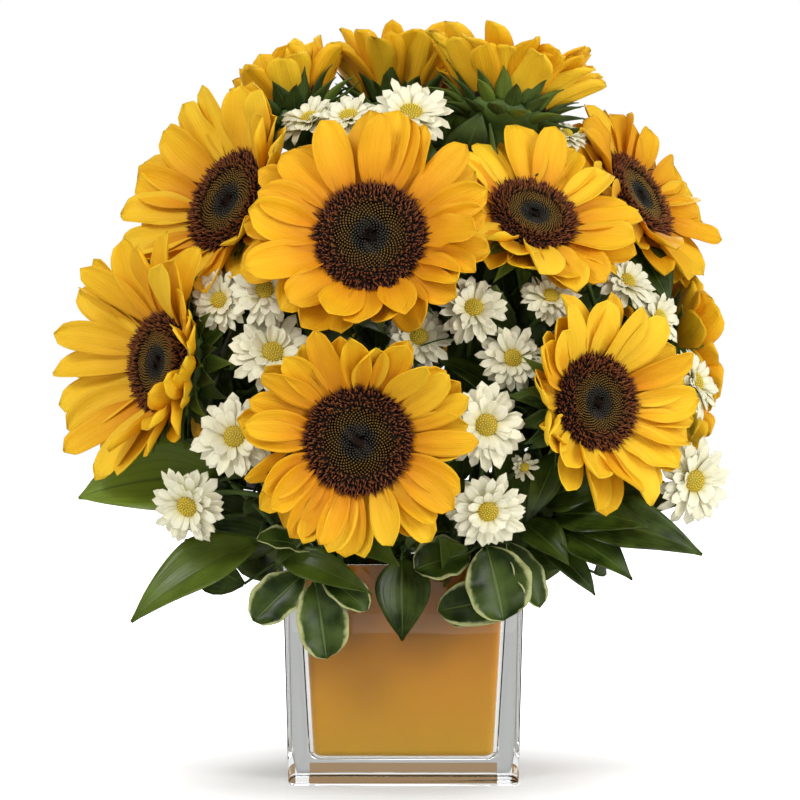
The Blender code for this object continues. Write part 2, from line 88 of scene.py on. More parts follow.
class Sketch:
    """One procedural material, put together node by node."""

    def __init__(self, name: str, **sockets: float) -> None:
        """Starts a Principled material.

        Args:
            name: The material's name.
            sockets: Constant values of the shader's sockets, with _ for a space in a socket's name.
        """
        self.material = bpy.data.materials.new(name)
        self.material.use_nodes = True
        self.tree = self.material.node_tree
        self.shader = self.tree.nodes["Principled BSDF"]
        for socket, value in sockets.items():
            self.shader.inputs[socket.replace("_", " ")].default_value = value

    def node(self, kind: str, inputs: dict, **settings: object) -> bpy.types.Node:
        """Adds a node.

        Args:
            kind: Its type, without the ShaderNode prefix.
            inputs: Values or sockets for its inputs, by name or index.
            settings: Its properties.

        Returns:
            The node.
        """
        made = self.tree.nodes.new("ShaderNode" + kind)
        for name, value in settings.items():
            setattr(made, name, value)
        for key, value in inputs.items():
            if isinstance(value, Socket):
                self.tree.links.new(value, made.inputs[key])
            else:
                made.inputs[key].default_value = value
        return made

    def uv(self) -> tuple[Socket, Socket, Socket]:
        """Reads the blade's own map.

        Returns:
            The whole vector, the share along the blade and the share across it.
        """
        whole = self.node("UVMap", {}, uv_map=UV_NAME).outputs["UV"]
        parts = self.node("SeparateXYZ", {"Vector": whole})
        return whole, parts.outputs["X"], parts.outputs["Y"]

    def place(self) -> Socket:
        """The point's own place in the object."""
        return self.node("TexCoord", {}).outputs["Object"]

    def attribute(self, name: str) -> Socket:
        """A number stored on the mesh."""
        return self.node("Attribute", {}, attribute_name=name).outputs["Fac"]

    def stretched(self, vector: Socket, scale: Triple) -> Socket:
        """A vector scaled along each axis."""
        return self.node("Mapping", {"Vector": vector, "Scale": scale}).outputs["Vector"]

    def noise(self, vector: Socket, scale: float, detail: float = 3.0) -> Socket:
        """Smooth noise from 0 to 1."""
        inputs = {"Vector": vector, "Scale": scale, "Detail": detail}
        return self.node("TexNoise", inputs).outputs["Fac"]

    def maths(self, operation: str, *values: object) -> Socket:
        """A sum of numbers or sockets."""
        return self.node("Math", dict(enumerate(values)), operation=operation).outputs[0]

    def span(self, value: Socket, low: float, high: float, start: float = 0.0, end: float = 1.0) -> Socket:
        """Maps the stretch from low to high onto start to end, clamped.

        Args:
            value: What is mapped.
            low: Where the stretch begins.
            high: Where it ends.
            start: The result at low.
            end: The result at high.

        Returns:
            The mapped socket.
        """
        inputs = {"Value": value, "From Min": low, "From Max": high, "To Min": start, "To Max": end}
        return self.node("MapRange", inputs).outputs["Result"]

    def ramp(self, factor: Socket, stops: tuple) -> Socket:
        """A colour ramp.

        Args:
            factor: What it reads.
            stops: Pairs of a position and a colour.

        Returns:
            The colour socket.
        """
        made = self.node("ValToRGB", {"Fac": factor})
        elements = made.color_ramp.elements
        for position, colour in stops[2:]:
            elements.new(position)
        for element, (position, colour) in zip(elements, stops):
            element.position = position
            element.color = (*colour, 1.0)
        return made.outputs["Color"]

    def blend(self, factor: object, first: object, second: object, mode: str = "MIX") -> Socket:
        """Mixes two colours.

        Args:
            factor: Share of the second one.
            first: A socket or a colour.
            second: A socket or a colour.
            mode: How they are mixed.

        Returns:
            The colour socket.
        """
        start, end = (side if isinstance(side, Socket) else (*side, 1.0) for side in (first, second))
        inputs = {0: factor, 6: start, 7: end}
        return self.node("Mix", inputs, data_type="RGBA", blend_type=mode).outputs[2]

    def paint(
        self,
        colour: Socket,
        roughness: Socket,
        height: Socket,
        relief: float,
        strength: float = 1.0,
    ) -> Material:
        """Wires the finished patterns to the shader.

        Args:
            colour: The base colour.
            roughness: The roughness.
            height: The pattern that raises the surface.
            relief: Its height in metres.
            strength: How strongly it shows.

        Returns:
            The material.
        """
        bump = self.node("Bump", {"Height": height, "Distance": relief, "Strength": strength})
        self.tree.links.new(colour, self.shader.inputs["Base Color"])
        self.tree.links.new(roughness, self.shader.inputs["Roughness"])
        self.tree.links.new(bump.outputs["Normal"], self.shader.inputs["Normal"])
        return self.material


@dataclass(frozen=True)
class PetalFinish:
    """Silky yellow ray petals, deeper orange at the base, with fine veins along them."""

    name: str = "sunflower_petal"
    base: Colour = (0.45, 0.130, 0.004)
    low: Colour = (0.66, 0.25, 0.005)
    middle: Colour = (0.80, 0.40, 0.007)
    tip: Colour = (0.85, 0.51, 0.012)
    lemon: Colour = (0.90, 0.60, 0.030)
    amber: Colour = (0.68, 0.26, 0.005)

    def build(self) -> Material:
        """Makes the material.

        Returns:
            The material.
        """
        sketch = Sketch(self.name, Specular_IOR_Level=0.18)
        whole, along, _ = sketch.uv()
        tint = sketch.attribute("tint")
        streaks = sketch.noise(sketch.stretched(whole, (1.6, 17.0, 1.0)), 1.0, 4.0)
        colour = sketch.ramp(along, ((0.0, self.base), (0.16, self.low), (0.5, self.middle), (1.0, self.tip)))
        colour = sketch.blend(sketch.span(streaks, 0.42, 0.7, 0.0, 0.42), colour, self.amber)
        colour = sketch.blend(sketch.span(tint, 0.5, 1.0, 0.0, 0.7), colour, self.lemon)
        colour = sketch.blend(sketch.span(tint, 0.5, 0.0, 0.0, 0.35), colour, self.amber)
        rough = sketch.span(streaks, 0.3, 0.7, 0.46, 0.62)
        return sketch.paint(colour, rough, streaks, 0.8 * MM, 0.8)


@dataclass(frozen=True)
class FloretFinish:
    """The disc's florets: dark blue-grey at the centre, olive gold round it and fuzzy maroon at the rim."""

    name: str = "sunflower_floret"
    roots: tuple = (
        (0.0, (0.010, 0.010, 0.012)),
        (0.36, (0.014, 0.013, 0.011)),
        (0.55, (0.026, 0.014, 0.006)),
        (1.0, (0.022, 0.006, 0.004)),
    )
    tips: tuple = (
        (0.0, (0.034, 0.038, 0.042)),
        (0.30, (0.050, 0.052, 0.040)),
        (0.42, (0.270, 0.160, 0.028)),
        (0.62, (0.250, 0.115, 0.020)),
        (0.70, (0.250, 0.070, 0.016)),
        (1.0, (0.230, 0.055, 0.016)),
    )
    pollen: Colour = (0.36, 0.13, 0.018)

    def build(self) -> Material:
        """Makes the material.

        Returns:
            The material.
        """
        sketch = Sketch(self.name, Specular_IOR_Level=0.3)
        reach = sketch.attribute("reach")
        rise = sketch.attribute("rise")
        tint = sketch.attribute("tint")
        roots, tips = (sketch.ramp(reach, stops) for stops in (self.roots, self.tips))
        colour = sketch.blend(sketch.span(rise, 0.25, 0.95), roots, tips)
        dusted = sketch.maths("MULTIPLY", sketch.span(tint, 0.86, 0.92), sketch.span(rise, 0.5, 0.9))
        outer = sketch.maths("MULTIPLY", dusted, sketch.span(reach, 0.55, 0.7, 0.0, 0.8))
        colour = sketch.blend(outer, colour, self.pollen)
        grain = sketch.noise(sketch.place(), 900.0, 2.0)
        return sketch.paint(colour, sketch.span(grain, 0.3, 0.7, 0.62, 0.9), grain, 0.3 * MM, 0.5)


@dataclass(frozen=True)
class RayFinish:
    """Cream-white daisy rays, ridged along their length and yellow-green at the base."""

    name: str = "daisy_ray"
    base: Colour = (0.58, 0.52, 0.09)
    low: Colour = (0.80, 0.75, 0.42)
    tip: Colour = (0.87, 0.84, 0.64)
    ridge: Colour = (0.66, 0.63, 0.44)

    def build(self) -> Material:
        """Makes the material.

        Returns:
            The material.
        """
        sketch = Sketch(self.name, Specular_IOR_Level=0.25)
        whole, along, _ = sketch.uv()
        tint = sketch.attribute("tint")
        colour = sketch.ramp(along, ((0.0, self.base), (0.2, self.low), (0.5, self.tip), (1.0, self.tip)))
        lines = sketch.noise(sketch.stretched(whole, (1.2, 9.0, 1.0)), 1.0, 2.0)
        colour = sketch.blend(sketch.span(lines, 0.45, 0.68, 0.0, 0.4), colour, self.ridge)
        colour = sketch.blend(sketch.span(tint, 0.0, 0.5, 0.22, 0.0), colour, self.low)
        return sketch.paint(colour, sketch.span(lines, 0.3, 0.7, 0.5, 0.66), lines, 0.35 * MM, 0.5)


@dataclass(frozen=True)
class EyeFinish:
    """The daisies' yellow-olive centres."""

    name: str = "daisy_eye"
    root: Colour = (0.40, 0.28, 0.012)
    rim: Colour = (0.92, 0.66, 0.035)
    centre: Colour = (0.74, 0.60, 0.040)

    def build(self) -> Material:
        """Makes the material.

        Returns:
            The material.
        """
        sketch = Sketch(self.name)
        reach = sketch.attribute("reach")
        rise = sketch.attribute("rise")
        top = sketch.blend(sketch.span(reach, 0.3, 0.9), self.centre, self.rim)
        colour = sketch.blend(sketch.span(rise, 0.1, 0.8), self.root, top)
        grain = sketch.noise(sketch.place(), 1100.0, 2.0)
        return sketch.paint(colour, sketch.span(grain, 0.3, 0.7, 0.5, 0.75), grain, 0.2 * MM, 0.5)


@dataclass(frozen=True)
class LeafFinish:
    """A leaf: dark green with lighter patches, fine veins from stalk to tip and, on some, a cream margin."""

    name: str
    dark: Colour
    light: Colour
    vein: Colour
    vein_count: float
    vein_strength: float
    gloss: float
    fresh: Colour = (0.20, 0.29, 0.030)
    margin: Colour | None = None
    margin_start: float = 1.0
    margin_end: float = 1.0

    def build(self) -> Material:
        """Makes the material.

        Returns:
            The material.
        """
        sketch = Sketch(self.name, Specular_IOR_Level=0.34)
        _, along, across = sketch.uv()
        tint = sketch.attribute("tint")
        place = sketch.place()
        patches = sketch.noise(place, 70.0, 4.0)
        side = sketch.maths("ABSOLUTE", sketch.maths("SUBTRACT", across, 0.5))
        colour = sketch.blend(sketch.span(patches, 0.35, 0.7), self.dark, self.light)
        colour = sketch.blend(sketch.span(tint, 0.45, 1.0, 0.0, 0.8), colour, self.fresh)
        narrowing = sketch.maths("ADD", sketch.maths("MULTIPLY", along, -0.45), 1.25)
        bow = sketch.maths("MULTIPLY", side, narrowing)
        wave = sketch.maths("SINE", sketch.maths("MULTIPLY", bow, self.vein_count * 2 * math.pi))
        veins = sketch.span(wave, 0.55, 1.0, 0.0, self.vein_strength)
        midrib = sketch.span(side, 0.030, 0.008)
        lines = sketch.maths("MAXIMUM", veins, sketch.maths("MULTIPLY", midrib, 0.8))
        colour = sketch.blend(lines, colour, self.vein)
        if self.margin:
            drift = sketch.maths("SUBTRACT", sketch.noise(place, 160.0, 2.0), 0.5)
            wander = sketch.maths("MULTIPLY", drift, 0.16)
            edge = sketch.maths("ADD", side, wander)
            rim = sketch.span(edge, self.margin_start, self.margin_end)
            colour = sketch.blend(sketch.maths("MULTIPLY", rim, 0.9), colour, self.margin)
        relief = sketch.maths("MULTIPLY", sketch.maths("SUBTRACT", patches, lines), 0.8)
        rough = sketch.span(patches, 0.3, 0.7, self.gloss, self.gloss + 0.16)
        return sketch.paint(colour, rough, relief, 0.5 * MM, 0.6)


@dataclass(frozen=True)
class StemFinish:
    """Green stems and flower backs, ribbed along their length and slightly downy."""

    name: str = "green_stem"
    dark: Colour = (0.028, 0.060, 0.008)
    light: Colour = (0.110, 0.185, 0.028)

    def build(self) -> Material:
        """Makes the material.

        Returns:
            The material.
        """
        sketch = Sketch(self.name)
        place = sketch.place()
        broad = sketch.noise(place, 45.0, 3.0)
        fine = sketch.noise(sketch.stretched(place, (1.0, 1.0, 0.16)), 900.0, 2.0)
        colour = sketch.blend(sketch.span(broad, 0.3, 0.7), self.dark, self.light)
        colour = sketch.blend(sketch.span(fine, 0.5, 0.75, 0.0, 0.4), colour, self.light)
        return sketch.paint(colour, sketch.span(fine, 0.3, 0.7, 0.45, 0.7), fine, 0.4 * MM, 0.5)


@dataclass(frozen=True)
class GlassFinish:
    """Clear pressed glass, with the slight waves that a mould leaves."""

    name: str = "pressed_glass"
    clear: Colour = (0.985, 0.995, 0.99)
    tinge: Colour = (0.955, 0.98, 0.97)

    def build(self) -> Material:
        """Makes the material.

        Returns:
            The material.
        """
        sketch = Sketch(self.name, Transmission_Weight=1.0, IOR=1.5)
        place = sketch.place()
        waves = sketch.noise(sketch.stretched(place, (1.0, 1.0, 0.35)), 38.0, 1.0)
        colour = sketch.blend(sketch.span(waves, 0.3, 0.7), self.clear, self.tinge)
        smears = sketch.noise(place, 90.0, 2.0)
        return sketch.paint(colour, sketch.span(smears, 0.45, 0.8, 0.0, 0.05), waves, 0.6 * MM, 0.25)


@dataclass(frozen=True)
class CoatFinish:
    """The opaque amber coat, with a soft sheen, painted brighter towards the foot and deeper towards the rim:
    the deeper rim is painted shade, the leaves' shade over the upper coat, laid on the coat's own amber.
    """

    name: str = "amber_coat"
    # Painted shade by height: the rim's colour is the deepest, for the leaves' shade over the upper coat.
    foot: Colour = (0.44, 0.235, 0.010)
    middle: Colour = (0.55, 0.220, 0.005)
    rim: Colour = (0.60, 0.195, 0.005)
    foot_height: float = 14 * MM
    rim_height: float = 114 * MM

    def build(self) -> Material:
        """Makes the material.

        Returns:
            The material.
        """
        sketch = Sketch(self.name, Specular_IOR_Level=0.08)
        place = sketch.place()
        height = sketch.node("SeparateXYZ", {"Vector": place}).outputs["Z"]
        cloud = sketch.noise(place, 22.0, 3.0)
        drift = sketch.maths("MULTIPLY", sketch.maths("SUBTRACT", cloud, 0.5), 26 * MM)
        level = sketch.span(sketch.maths("ADD", height, drift), self.foot_height, self.rim_height)
        # Painted shade: the colour runs by height from the brighter foot to the deeper rim, where the leaves
        # shade the coat.
        colour = sketch.ramp(level, ((0.0, self.foot), (0.5, self.middle), (1.0, self.rim)))
        grain = sketch.noise(place, 420.0, 2.0)
        return sketch.paint(colour, sketch.span(cloud, 0.3, 0.7, 0.26, 0.4), grain, 0.1 * MM, 0.25)


@dataclass(frozen=True)
class FoamFinish:
    """Wet floral foam: dark green, with fine open cells."""

    name: str = "wet_foam"
    dark: Colour = (0.020, 0.060, 0.022)
    light: Colour = (0.060, 0.135, 0.050)

    def build(self) -> Material:
        """Makes the material.

        Returns:
            The material.
        """
        sketch = Sketch(self.name)
        cells = sketch.noise(sketch.place(), 1400.0, 4.0)
        colour = sketch.blend(sketch.span(cells, 0.35, 0.65), self.dark, self.light)
        return sketch.paint(colour, sketch.span(cells, 0.3, 0.7, 0.7, 0.95), cells, 0.8 * MM, 0.8)


# ----------------------------------------------------------------------------------------------------
# Mesh tools


def metres(point: Triple) -> Vector:
    """A table's place, from millimetres to metres."""
    return Vector(point) * MM


def elements(geometry: list, kind: type) -> list:
    """The elements of one kind in what a bmesh operator returned."""
    return [element for element in geometry if isinstance(element, kind)]


def sweep(bm: Mesh, path: list[Vector], radii: list[float], sides: int) -> None:
    """Adds a closed round body: a circle extruded from point to point of a path, and capped.

    Args:
        bm: The mesh it is added to.
        path: The points.
        radii: The radius at each point.
        sides: How many sides the circle has.
    """
    last = len(path) - 1
    directions = [(path[min(i + 1, last)] - path[max(i - 1, 0)]).normalized() for i in range(last + 1)]
    turn = directions[0].to_track_quat("Z", "Y")
    here = Matrix.LocRotScale(path[0], turn, (radii[0],) * 3)
    verts = bmesh.ops.create_circle(bm, segments=sides, radius=1.0, matrix=here)["verts"]
    ring = list({edge for vert in verts for edge in vert.link_edges})
    made = list(verts)
    bmesh.ops.edgeloop_fill(bm, edges=ring)
    for i in range(1, last + 1):
        turn = directions[i - 1].rotation_difference(directions[i]) @ turn
        there = Matrix.LocRotScale(path[i], turn, (radii[i],) * 3)
        geometry = bmesh.ops.extrude_edge_only(bm, edges=ring)["geom"]
        verts = elements(geometry, bmesh.types.BMVert)
        fresh = set(verts)
        ring = [edge for edge in elements(geometry, bmesh.types.BMEdge) if fresh.issuperset(edge.verts)]
        bmesh.ops.transform(bm, matrix=there @ here.inverted(), verts=verts)
        made += verts
        here = there
    bmesh.ops.edgeloop_fill(bm, edges=ring)
    bmesh.ops.recalc_face_normals(bm, faces=list({face for vert in made for face in vert.link_faces}))


def bezier(start: Vector, start_pull: Vector, end_pull: Vector, end: Vector, count: int) -> list[Vector]:
    """Walks along a cubic curve.

    Args:
        start: Where it starts.
        start_pull: What it first heads for.
        end_pull: What it last comes from.
        end: Where it ends.
        count: How many steps it takes.

    Returns:
        The points after the start.
    """
    points = []
    for step in range(1, count + 1):
        t = step / count
        u = 1 - t
        points.append(u**3 * start + 3 * u * u * t * start_pull + 3 * u * t * t * end_pull + t**3 * end)
    return points


def facing_matrix(centre: Vector, facing: Vector) -> Matrix:
    """A matrix whose origin is a flower's centre and whose Z is the way it faces."""
    return Matrix.LocRotScale(centre, facing.normalized().to_track_quat("Z", "Y"), None)


@dataclass(frozen=True)
class Outline:
    """How a blade's width runs along it, as shares of the widest: out from its base, then in to its tip."""

    base: float
    widest: float
    swell: float
    fullness: float
    point: float

    def share(self, along: float) -> float:
        """Works out the width at one place.

        Args:
            along: The place, as a share of the length.

        Returns:
            The width, as a share of the widest.
        """
        if along < self.widest:
            return self.base + (1 - self.base) * math.sin(along / self.widest * math.pi / 2) ** self.swell
        onward = (along - self.widest) / (1 - self.widest)
        return max(0.03, (1 - onward**self.fullness) ** self.point)


SUNFLOWER_PETAL = Outline(0.44, 0.56, 1.0, 2.6, 0.50)
DAISY_RAY = Outline(0.40, 0.66, 0.9, 3.6, 0.40)
BRACT = Outline(0.72, 0.30, 1.0, 1.35, 1.25)
RUSCUS = Outline(0.10, 0.40, 0.9, 1.55, 1.12)
PITTOSPORUM = Outline(0.12, 0.52, 0.8, 2.2, 0.55)


@dataclass
class Blade:
    """One petal, ray, bract or leaf: a grid drawn to an outline and bent, cupped and twisted.

    Its frame has X from base to tip, Y across and Z out of its upper side.
    """

    outline: Outline
    length: float
    width: float
    columns: int = 10
    rows: int = 5
    lean: float = 0.0
    bend: float = 0.0
    bend_from: float = 1.0
    cup: float = 0.0
    grooves: float = 0.0
    groove_count: float = 1.5
    sway: float = 0.0
    twist: float = 0.0
    ruffle: float = 0.0
    ruffle_turns: float = 2.0
    ruffle_phase: float = 0.0

    def spine(self) -> list[Triple]:
        """Follows the blade's middle line.

        Returns:
            Its stations: how far out, how high and the slope there.
        """
        stations = []
        out = height = 0.0
        step = self.length / self.columns
        for i in range(self.columns + 1):
            slope = self.lean + self.bend * (i / self.columns) ** self.bend_from
            stations.append((out, height, slope))
            out += math.cos(slope) * step
            height += math.sin(slope) * step
        return stations

    def add(self, bm: Mesh, where: Matrix, tint: float) -> None:
        """Adds the blade to a mesh.

        Args:
            bm: The mesh.
            where: The blade's frame.
            tint: A number from 0 to 1, stored on it for its finish.
        """
        part = new_mesh()
        bmesh.ops.create_grid(part, x_segments=self.columns, y_segments=self.rows, size=0.5, calc_uvs=True)
        layer = part.verts.layers.float["tint"]
        stations = self.spine()
        for vert in part.verts:
            along = vert.co.x + 0.5
            across = vert.co.y * 2
            out, height, slope = stations[round(along * self.columns)]
            half = self.width / 2 * self.outline.share(along)
            edge = across * across
            lift = self.cup * half * edge
            lift += self.grooves * half * math.cos(across * math.pi * self.groove_count) * (1 - along * 0.6)
            waves = math.sin(along * math.tau * self.ruffle_turns + self.ruffle_phase + across * 1.2)
            lift += self.ruffle * self.width * waves * edge * min(1.0, along * 2.5)
            turn = self.twist * along
            side = across * half
            aside = side * math.cos(turn) - lift * math.sin(turn) + self.sway * self.length * along * along
            up = side * math.sin(turn) + lift * math.cos(turn)
            local = Vector((out - math.sin(slope) * up, aside, height + math.cos(slope) * up))
            vert.co = where @ local
            vert[layer] = tint
        join(bm, part)


def new_mesh() -> Mesh:
    """Starts a mesh.

    Returns:
        The mesh, with the map and the numbers that the finishes read.
    """
    bm = bmesh.new()
    bm.loops.layers.uv.new(UV_NAME)
    for name in ("tint", "reach", "rise"):
        bm.verts.layers.float.new(name)
    return bm


def join(bm: Mesh, part: Mesh) -> None:
    """Moves a small mesh into a large one, because operators slow down as their mesh grows.

    Args:
        bm: The large mesh.
        part: The small one, which is freed.
    """
    held = bpy.data.meshes.new("part")
    part.to_mesh(held)
    part.free()
    bm.from_mesh(held)
    bpy.data.meshes.remove(held)


def make_piece(name: str, bm: Mesh, materials: list, thickness: float = 0.0) -> Piece:
    """Turns a mesh into a smooth piece that rides on the root body.

    Args:
        name: The piece's name.
        bm: Its mesh, which is freed.
        materials: Its material, and a second one for the underside of thin blades.
        thickness: The wall that a sheet of blades is given.

    Returns:
        The object.
    """
    mesh = bpy.data.meshes.new(name)
    bm.to_mesh(mesh)
    bm.free()
    mesh.shade_smooth()
    for material in materials:
        mesh.materials.append(material)
    piece = bpy.data.objects.new(name, mesh)
    bpy.context.scene.collection.objects.link(piece)
    if thickness:
        wall = piece.modifiers.new("Thickness", "SOLIDIFY")
        wall.thickness = thickness
        wall.offset = 0.0
        wall.material_offset = len(materials) - 1
    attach(piece, ROOT)
    LOG.info("%s: %d faces", name, len(mesh.polygons))
    return piece


# ----------------------------------------------------------------------------------------------------
# The vase


@dataclass
class Vase:
    """The square glass cup and its coat of colour, as high and as wide at the rim as the frame's."""

    base_thickness: float = 13 * MM
    outer_corner: float = 5 * MM
    cavity_corner: float = 7 * MM
    cavity_foot_width: float = 99 * MM
    cavity_top_width: float = 111 * MM
    foot_width: float = 121 * MM
    edge_round: float = 1.6 * MM
    cavity_floor_round: float = 5 * MM
    coat_gap: float = 0.15 * MM
    coat_thickness: float = 1.0 * MM
    cut_overrun: float = 10 * MM

    def __post_init__(self) -> None:
        """Reads the rim's height and width from the frame."""
        low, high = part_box("vase_glass")
        self.height = high.z
        self.top_width = high.x - low.x

    def block(
        self, low: float, high: float, foot: float, top: float, corner: float, floor_round: float
    ) -> Piece:
        """A square block, wider at the top, with rounded upright corners and a rounded lower edge.

        Args:
            low: Its foot's height.
            high: Its top's height.
            foot: The width of its foot.
            top: The width of its top.
            corner: The radius of its upright corners.
            floor_round: The radius of its lower edge.

        Returns:
            An object, which is removed once it has been cut or has cut another.
        """
        bm = bmesh.new()
        bmesh.ops.create_cube(bm, size=1.0, matrix=Matrix.Translation((0, 0, 0.5)))
        upright = [edge for edge in bm.edges if abs(edge.verts[0].co.z - edge.verts[1].co.z) > 0.5]
        for vert in bm.verts:
            width = top if vert.co.z > 0.5 else foot
            vert.co = (vert.co.x * width, vert.co.y * width, high if vert.co.z > 0.5 else low)
        settings = {"affect": "EDGES", "profile": 0.5, "material": -1}
        bmesh.ops.bevel(bm, geom=upright, offset=corner, segments=6, **settings)
        middle = (low + high) / 2
        foot_edges = [edge for edge in bm.edges if max(vert.co.z for vert in edge.verts) < middle]
        bmesh.ops.bevel(bm, geom=foot_edges, offset=floor_round, segments=4, **settings)
        bmesh.ops.recalc_face_normals(bm, faces=bm.faces[:])
        mesh = bpy.data.meshes.new("block")
        bm.to_mesh(mesh)
        bm.free()
        made = bpy.data.objects.new("block", mesh)
        bpy.context.scene.collection.objects.link(made)
        return made

    def cavity(self, inset: float, floor: float, top: float) -> Piece:
        """A block that follows the cavity's walls at a distance, between two heights.

        Args:
            inset: How far inside the cavity's walls it lies.
            floor: Its lower height.
            top: Its upper height.

        Returns:
            The block.
        """
        rise = (self.cavity_top_width - self.cavity_foot_width) / (self.height - self.base_thickness)
        at_base = self.cavity_foot_width - 2 * inset
        widths = [at_base + rise * (level - self.base_thickness) for level in (floor, top)]
        corner = self.cavity_corner - inset
        return self.block(floor, top, *widths, corner, self.cavity_floor_round - inset)

    def hollow(self, name: str, outer: Piece, inner: Piece) -> Mesh:
        """Cuts the inner block out of the outer one, and removes both.

        Args:
            name: What the cut is called.
            outer: The block that is cut.
            inner: The block that cuts it.

        Returns:
            The mesh of the cup.
        """
        cut = outer.modifiers.new(name, "BOOLEAN")
        cut.operation = "DIFFERENCE"
        cut.solver = "EXACT"
        cut.object = inner
        graph = bpy.context.evaluated_depsgraph_get()
        bm = bmesh.new()
        bm.from_mesh(outer.evaluated_get(graph).data)
        for block in (outer, inner):
            bpy.data.objects.remove(block, do_unlink=True)
        return bm

    def build(self, glass: Material, coat: Material) -> None:
        """Makes both cups.

        Args:
            glass: The outer cup's material.
            coat: The lining's material.
        """
        over = self.height + self.cut_overrun
        widths = (self.foot_width, self.top_width)
        outer = self.block(0.0, self.height, *widths, self.outer_corner, self.edge_round)
        bm = self.hollow("glass_cut", outer, self.cavity(0.0, self.base_thickness, over))
        self.round_rim(bm, self.height, self.edge_round)
        cup = self.cup("glass_vase", bm, Slot.GLASS, glass)
        cup.visible_shadow = False
        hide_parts("vase_glass")

        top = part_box("vase_colour_lining")[1].z
        floor = self.base_thickness + self.coat_gap
        inside = self.coat_gap + self.coat_thickness
        shell = self.cavity(self.coat_gap, floor, top)
        bm = self.hollow("coat_cut", shell, self.cavity(inside, floor + self.coat_thickness, over))
        lining = self.cup("amber_lining", bm, Slot.COAT, coat)
        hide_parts("vase_colour_lining")

    def round_rim(self, bm: Mesh, level: float, radius: float) -> None:
        """Rounds the edges that lie at one level.

        Args:
            bm: The cup's mesh.
            level: Their height.
            radius: How far they are rounded.
        """
        near = 0.05 * MM
        rim = [edge for edge in bm.edges if all(abs(vert.co.z - level) < near for vert in edge.verts)]
        rim = [edge for edge in rim if len(edge.link_faces) == 2 and edge.calc_face_angle(0.0) > 0.5]
        bmesh.ops.bevel(bm, geom=rim, offset=radius, segments=4, affect="EDGES", profile=0.5, material=-1)

    def cup(self, name: str, bm: Mesh, slot: Slot, material: Material) -> Piece:
        """Finishes a cup as a piece, with its flat walls kept flat.

        Args:
            name: The piece's name.
            bm: Its mesh.
            slot: Not used.
            material: Its material.

        Returns:
            The piece.
        """
        piece = make_piece(name, bm, [material])
        piece.data.set_sharp_from_angle(angle=math.radians(35))
        return piece


# ----------------------------------------------------------------------------------------------------
# Sunflowers


@dataclass(frozen=True)
class Fold:
    """How some petals of a head fold forward: the side they are on, how far they lean and how they curl."""

    side: Triple
    lean: float
    curl: float = 0.0
    shorten: float = 0.0


@dataclass(frozen=True)
class Habit:
    """How one head's petals differ from the others': their count, width, fold, length, lift and lightness."""

    petal_count: int = 17
    petal_width: float = 20 * MM
    fold: Fold | None = None
    stretch: float = 1.0
    lift: float = 0.0
    lightness: float = 0.0


@dataclass
class HeadMeasure:
    """One sunflower's places and sizes, measured from its frame nodes."""

    number: int
    disc_back: float = 7 * MM
    foot_band: float = 6 * MM
    exit_low: float = 99 * MM
    exit_high: float = 109 * MM
    near_disc: float = 26 * MM

    def __post_init__(self) -> None:
        """Finds the disc's axis and radius, the petals' reach and lean, and the stem's lower end."""
        disc, petals, stem = (self.points(part) for part in ("disc", "petals", "stem"))
        middle = disc.mean(axis=0)
        axis = np.linalg.svd(disc - middle)[2][2]
        behind = stem[np.linalg.norm(stem - middle, axis=1) < self.near_disc].mean(axis=0)
        if np.dot(middle - behind, axis) < 0:
            axis = -axis
        back = ((disc - middle) @ axis).min()
        self.facing = Vector(axis)
        self.centre = Vector(middle + axis * (back + self.disc_back))
        self.frame = facing_matrix(self.centre, self.facing)
        self.disc_radius = float(self.radii(disc).max())
        reach = self.radii(petals)
        heights = (petals - np.array(self.centre)) @ axis
        tip, root = reach.argmax(), reach.argmin()
        rise = float(heights[tip] - heights[root])
        run = float(reach[tip] - reach[root])
        self.lean = math.atan2(rise, run)
        self.petal_length = math.hypot(rise, run)
        self.foot = Vector(stem[stem[:, 2] < stem[:, 2].min() + self.foot_band].mean(axis=0))
        exits = stem[(stem[:, 2] > self.exit_low) & (stem[:, 2] < self.exit_high)]
        self.way_out = Vector(exits.mean(axis=0))

    def points(self, part: str) -> np.ndarray:
        """The vertices of one of the sunflower's nodes."""
        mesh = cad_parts[f"sunflower_{self.number:02d}_{part}"].data
        return np.array([vert.co[:] for vert in mesh.vertices])

    def radii(self, points: np.ndarray) -> np.ndarray:
        """Measures how far points lie from the head's axis.

        Args:
            points: The points, one to a row.

        Returns:
            One distance for each point.
        """
        offset = points - np.array(self.centre)
        along = offset @ np.array(self.facing)
        return np.linalg.norm(offset - np.outer(along, np.array(self.facing)), axis=1)


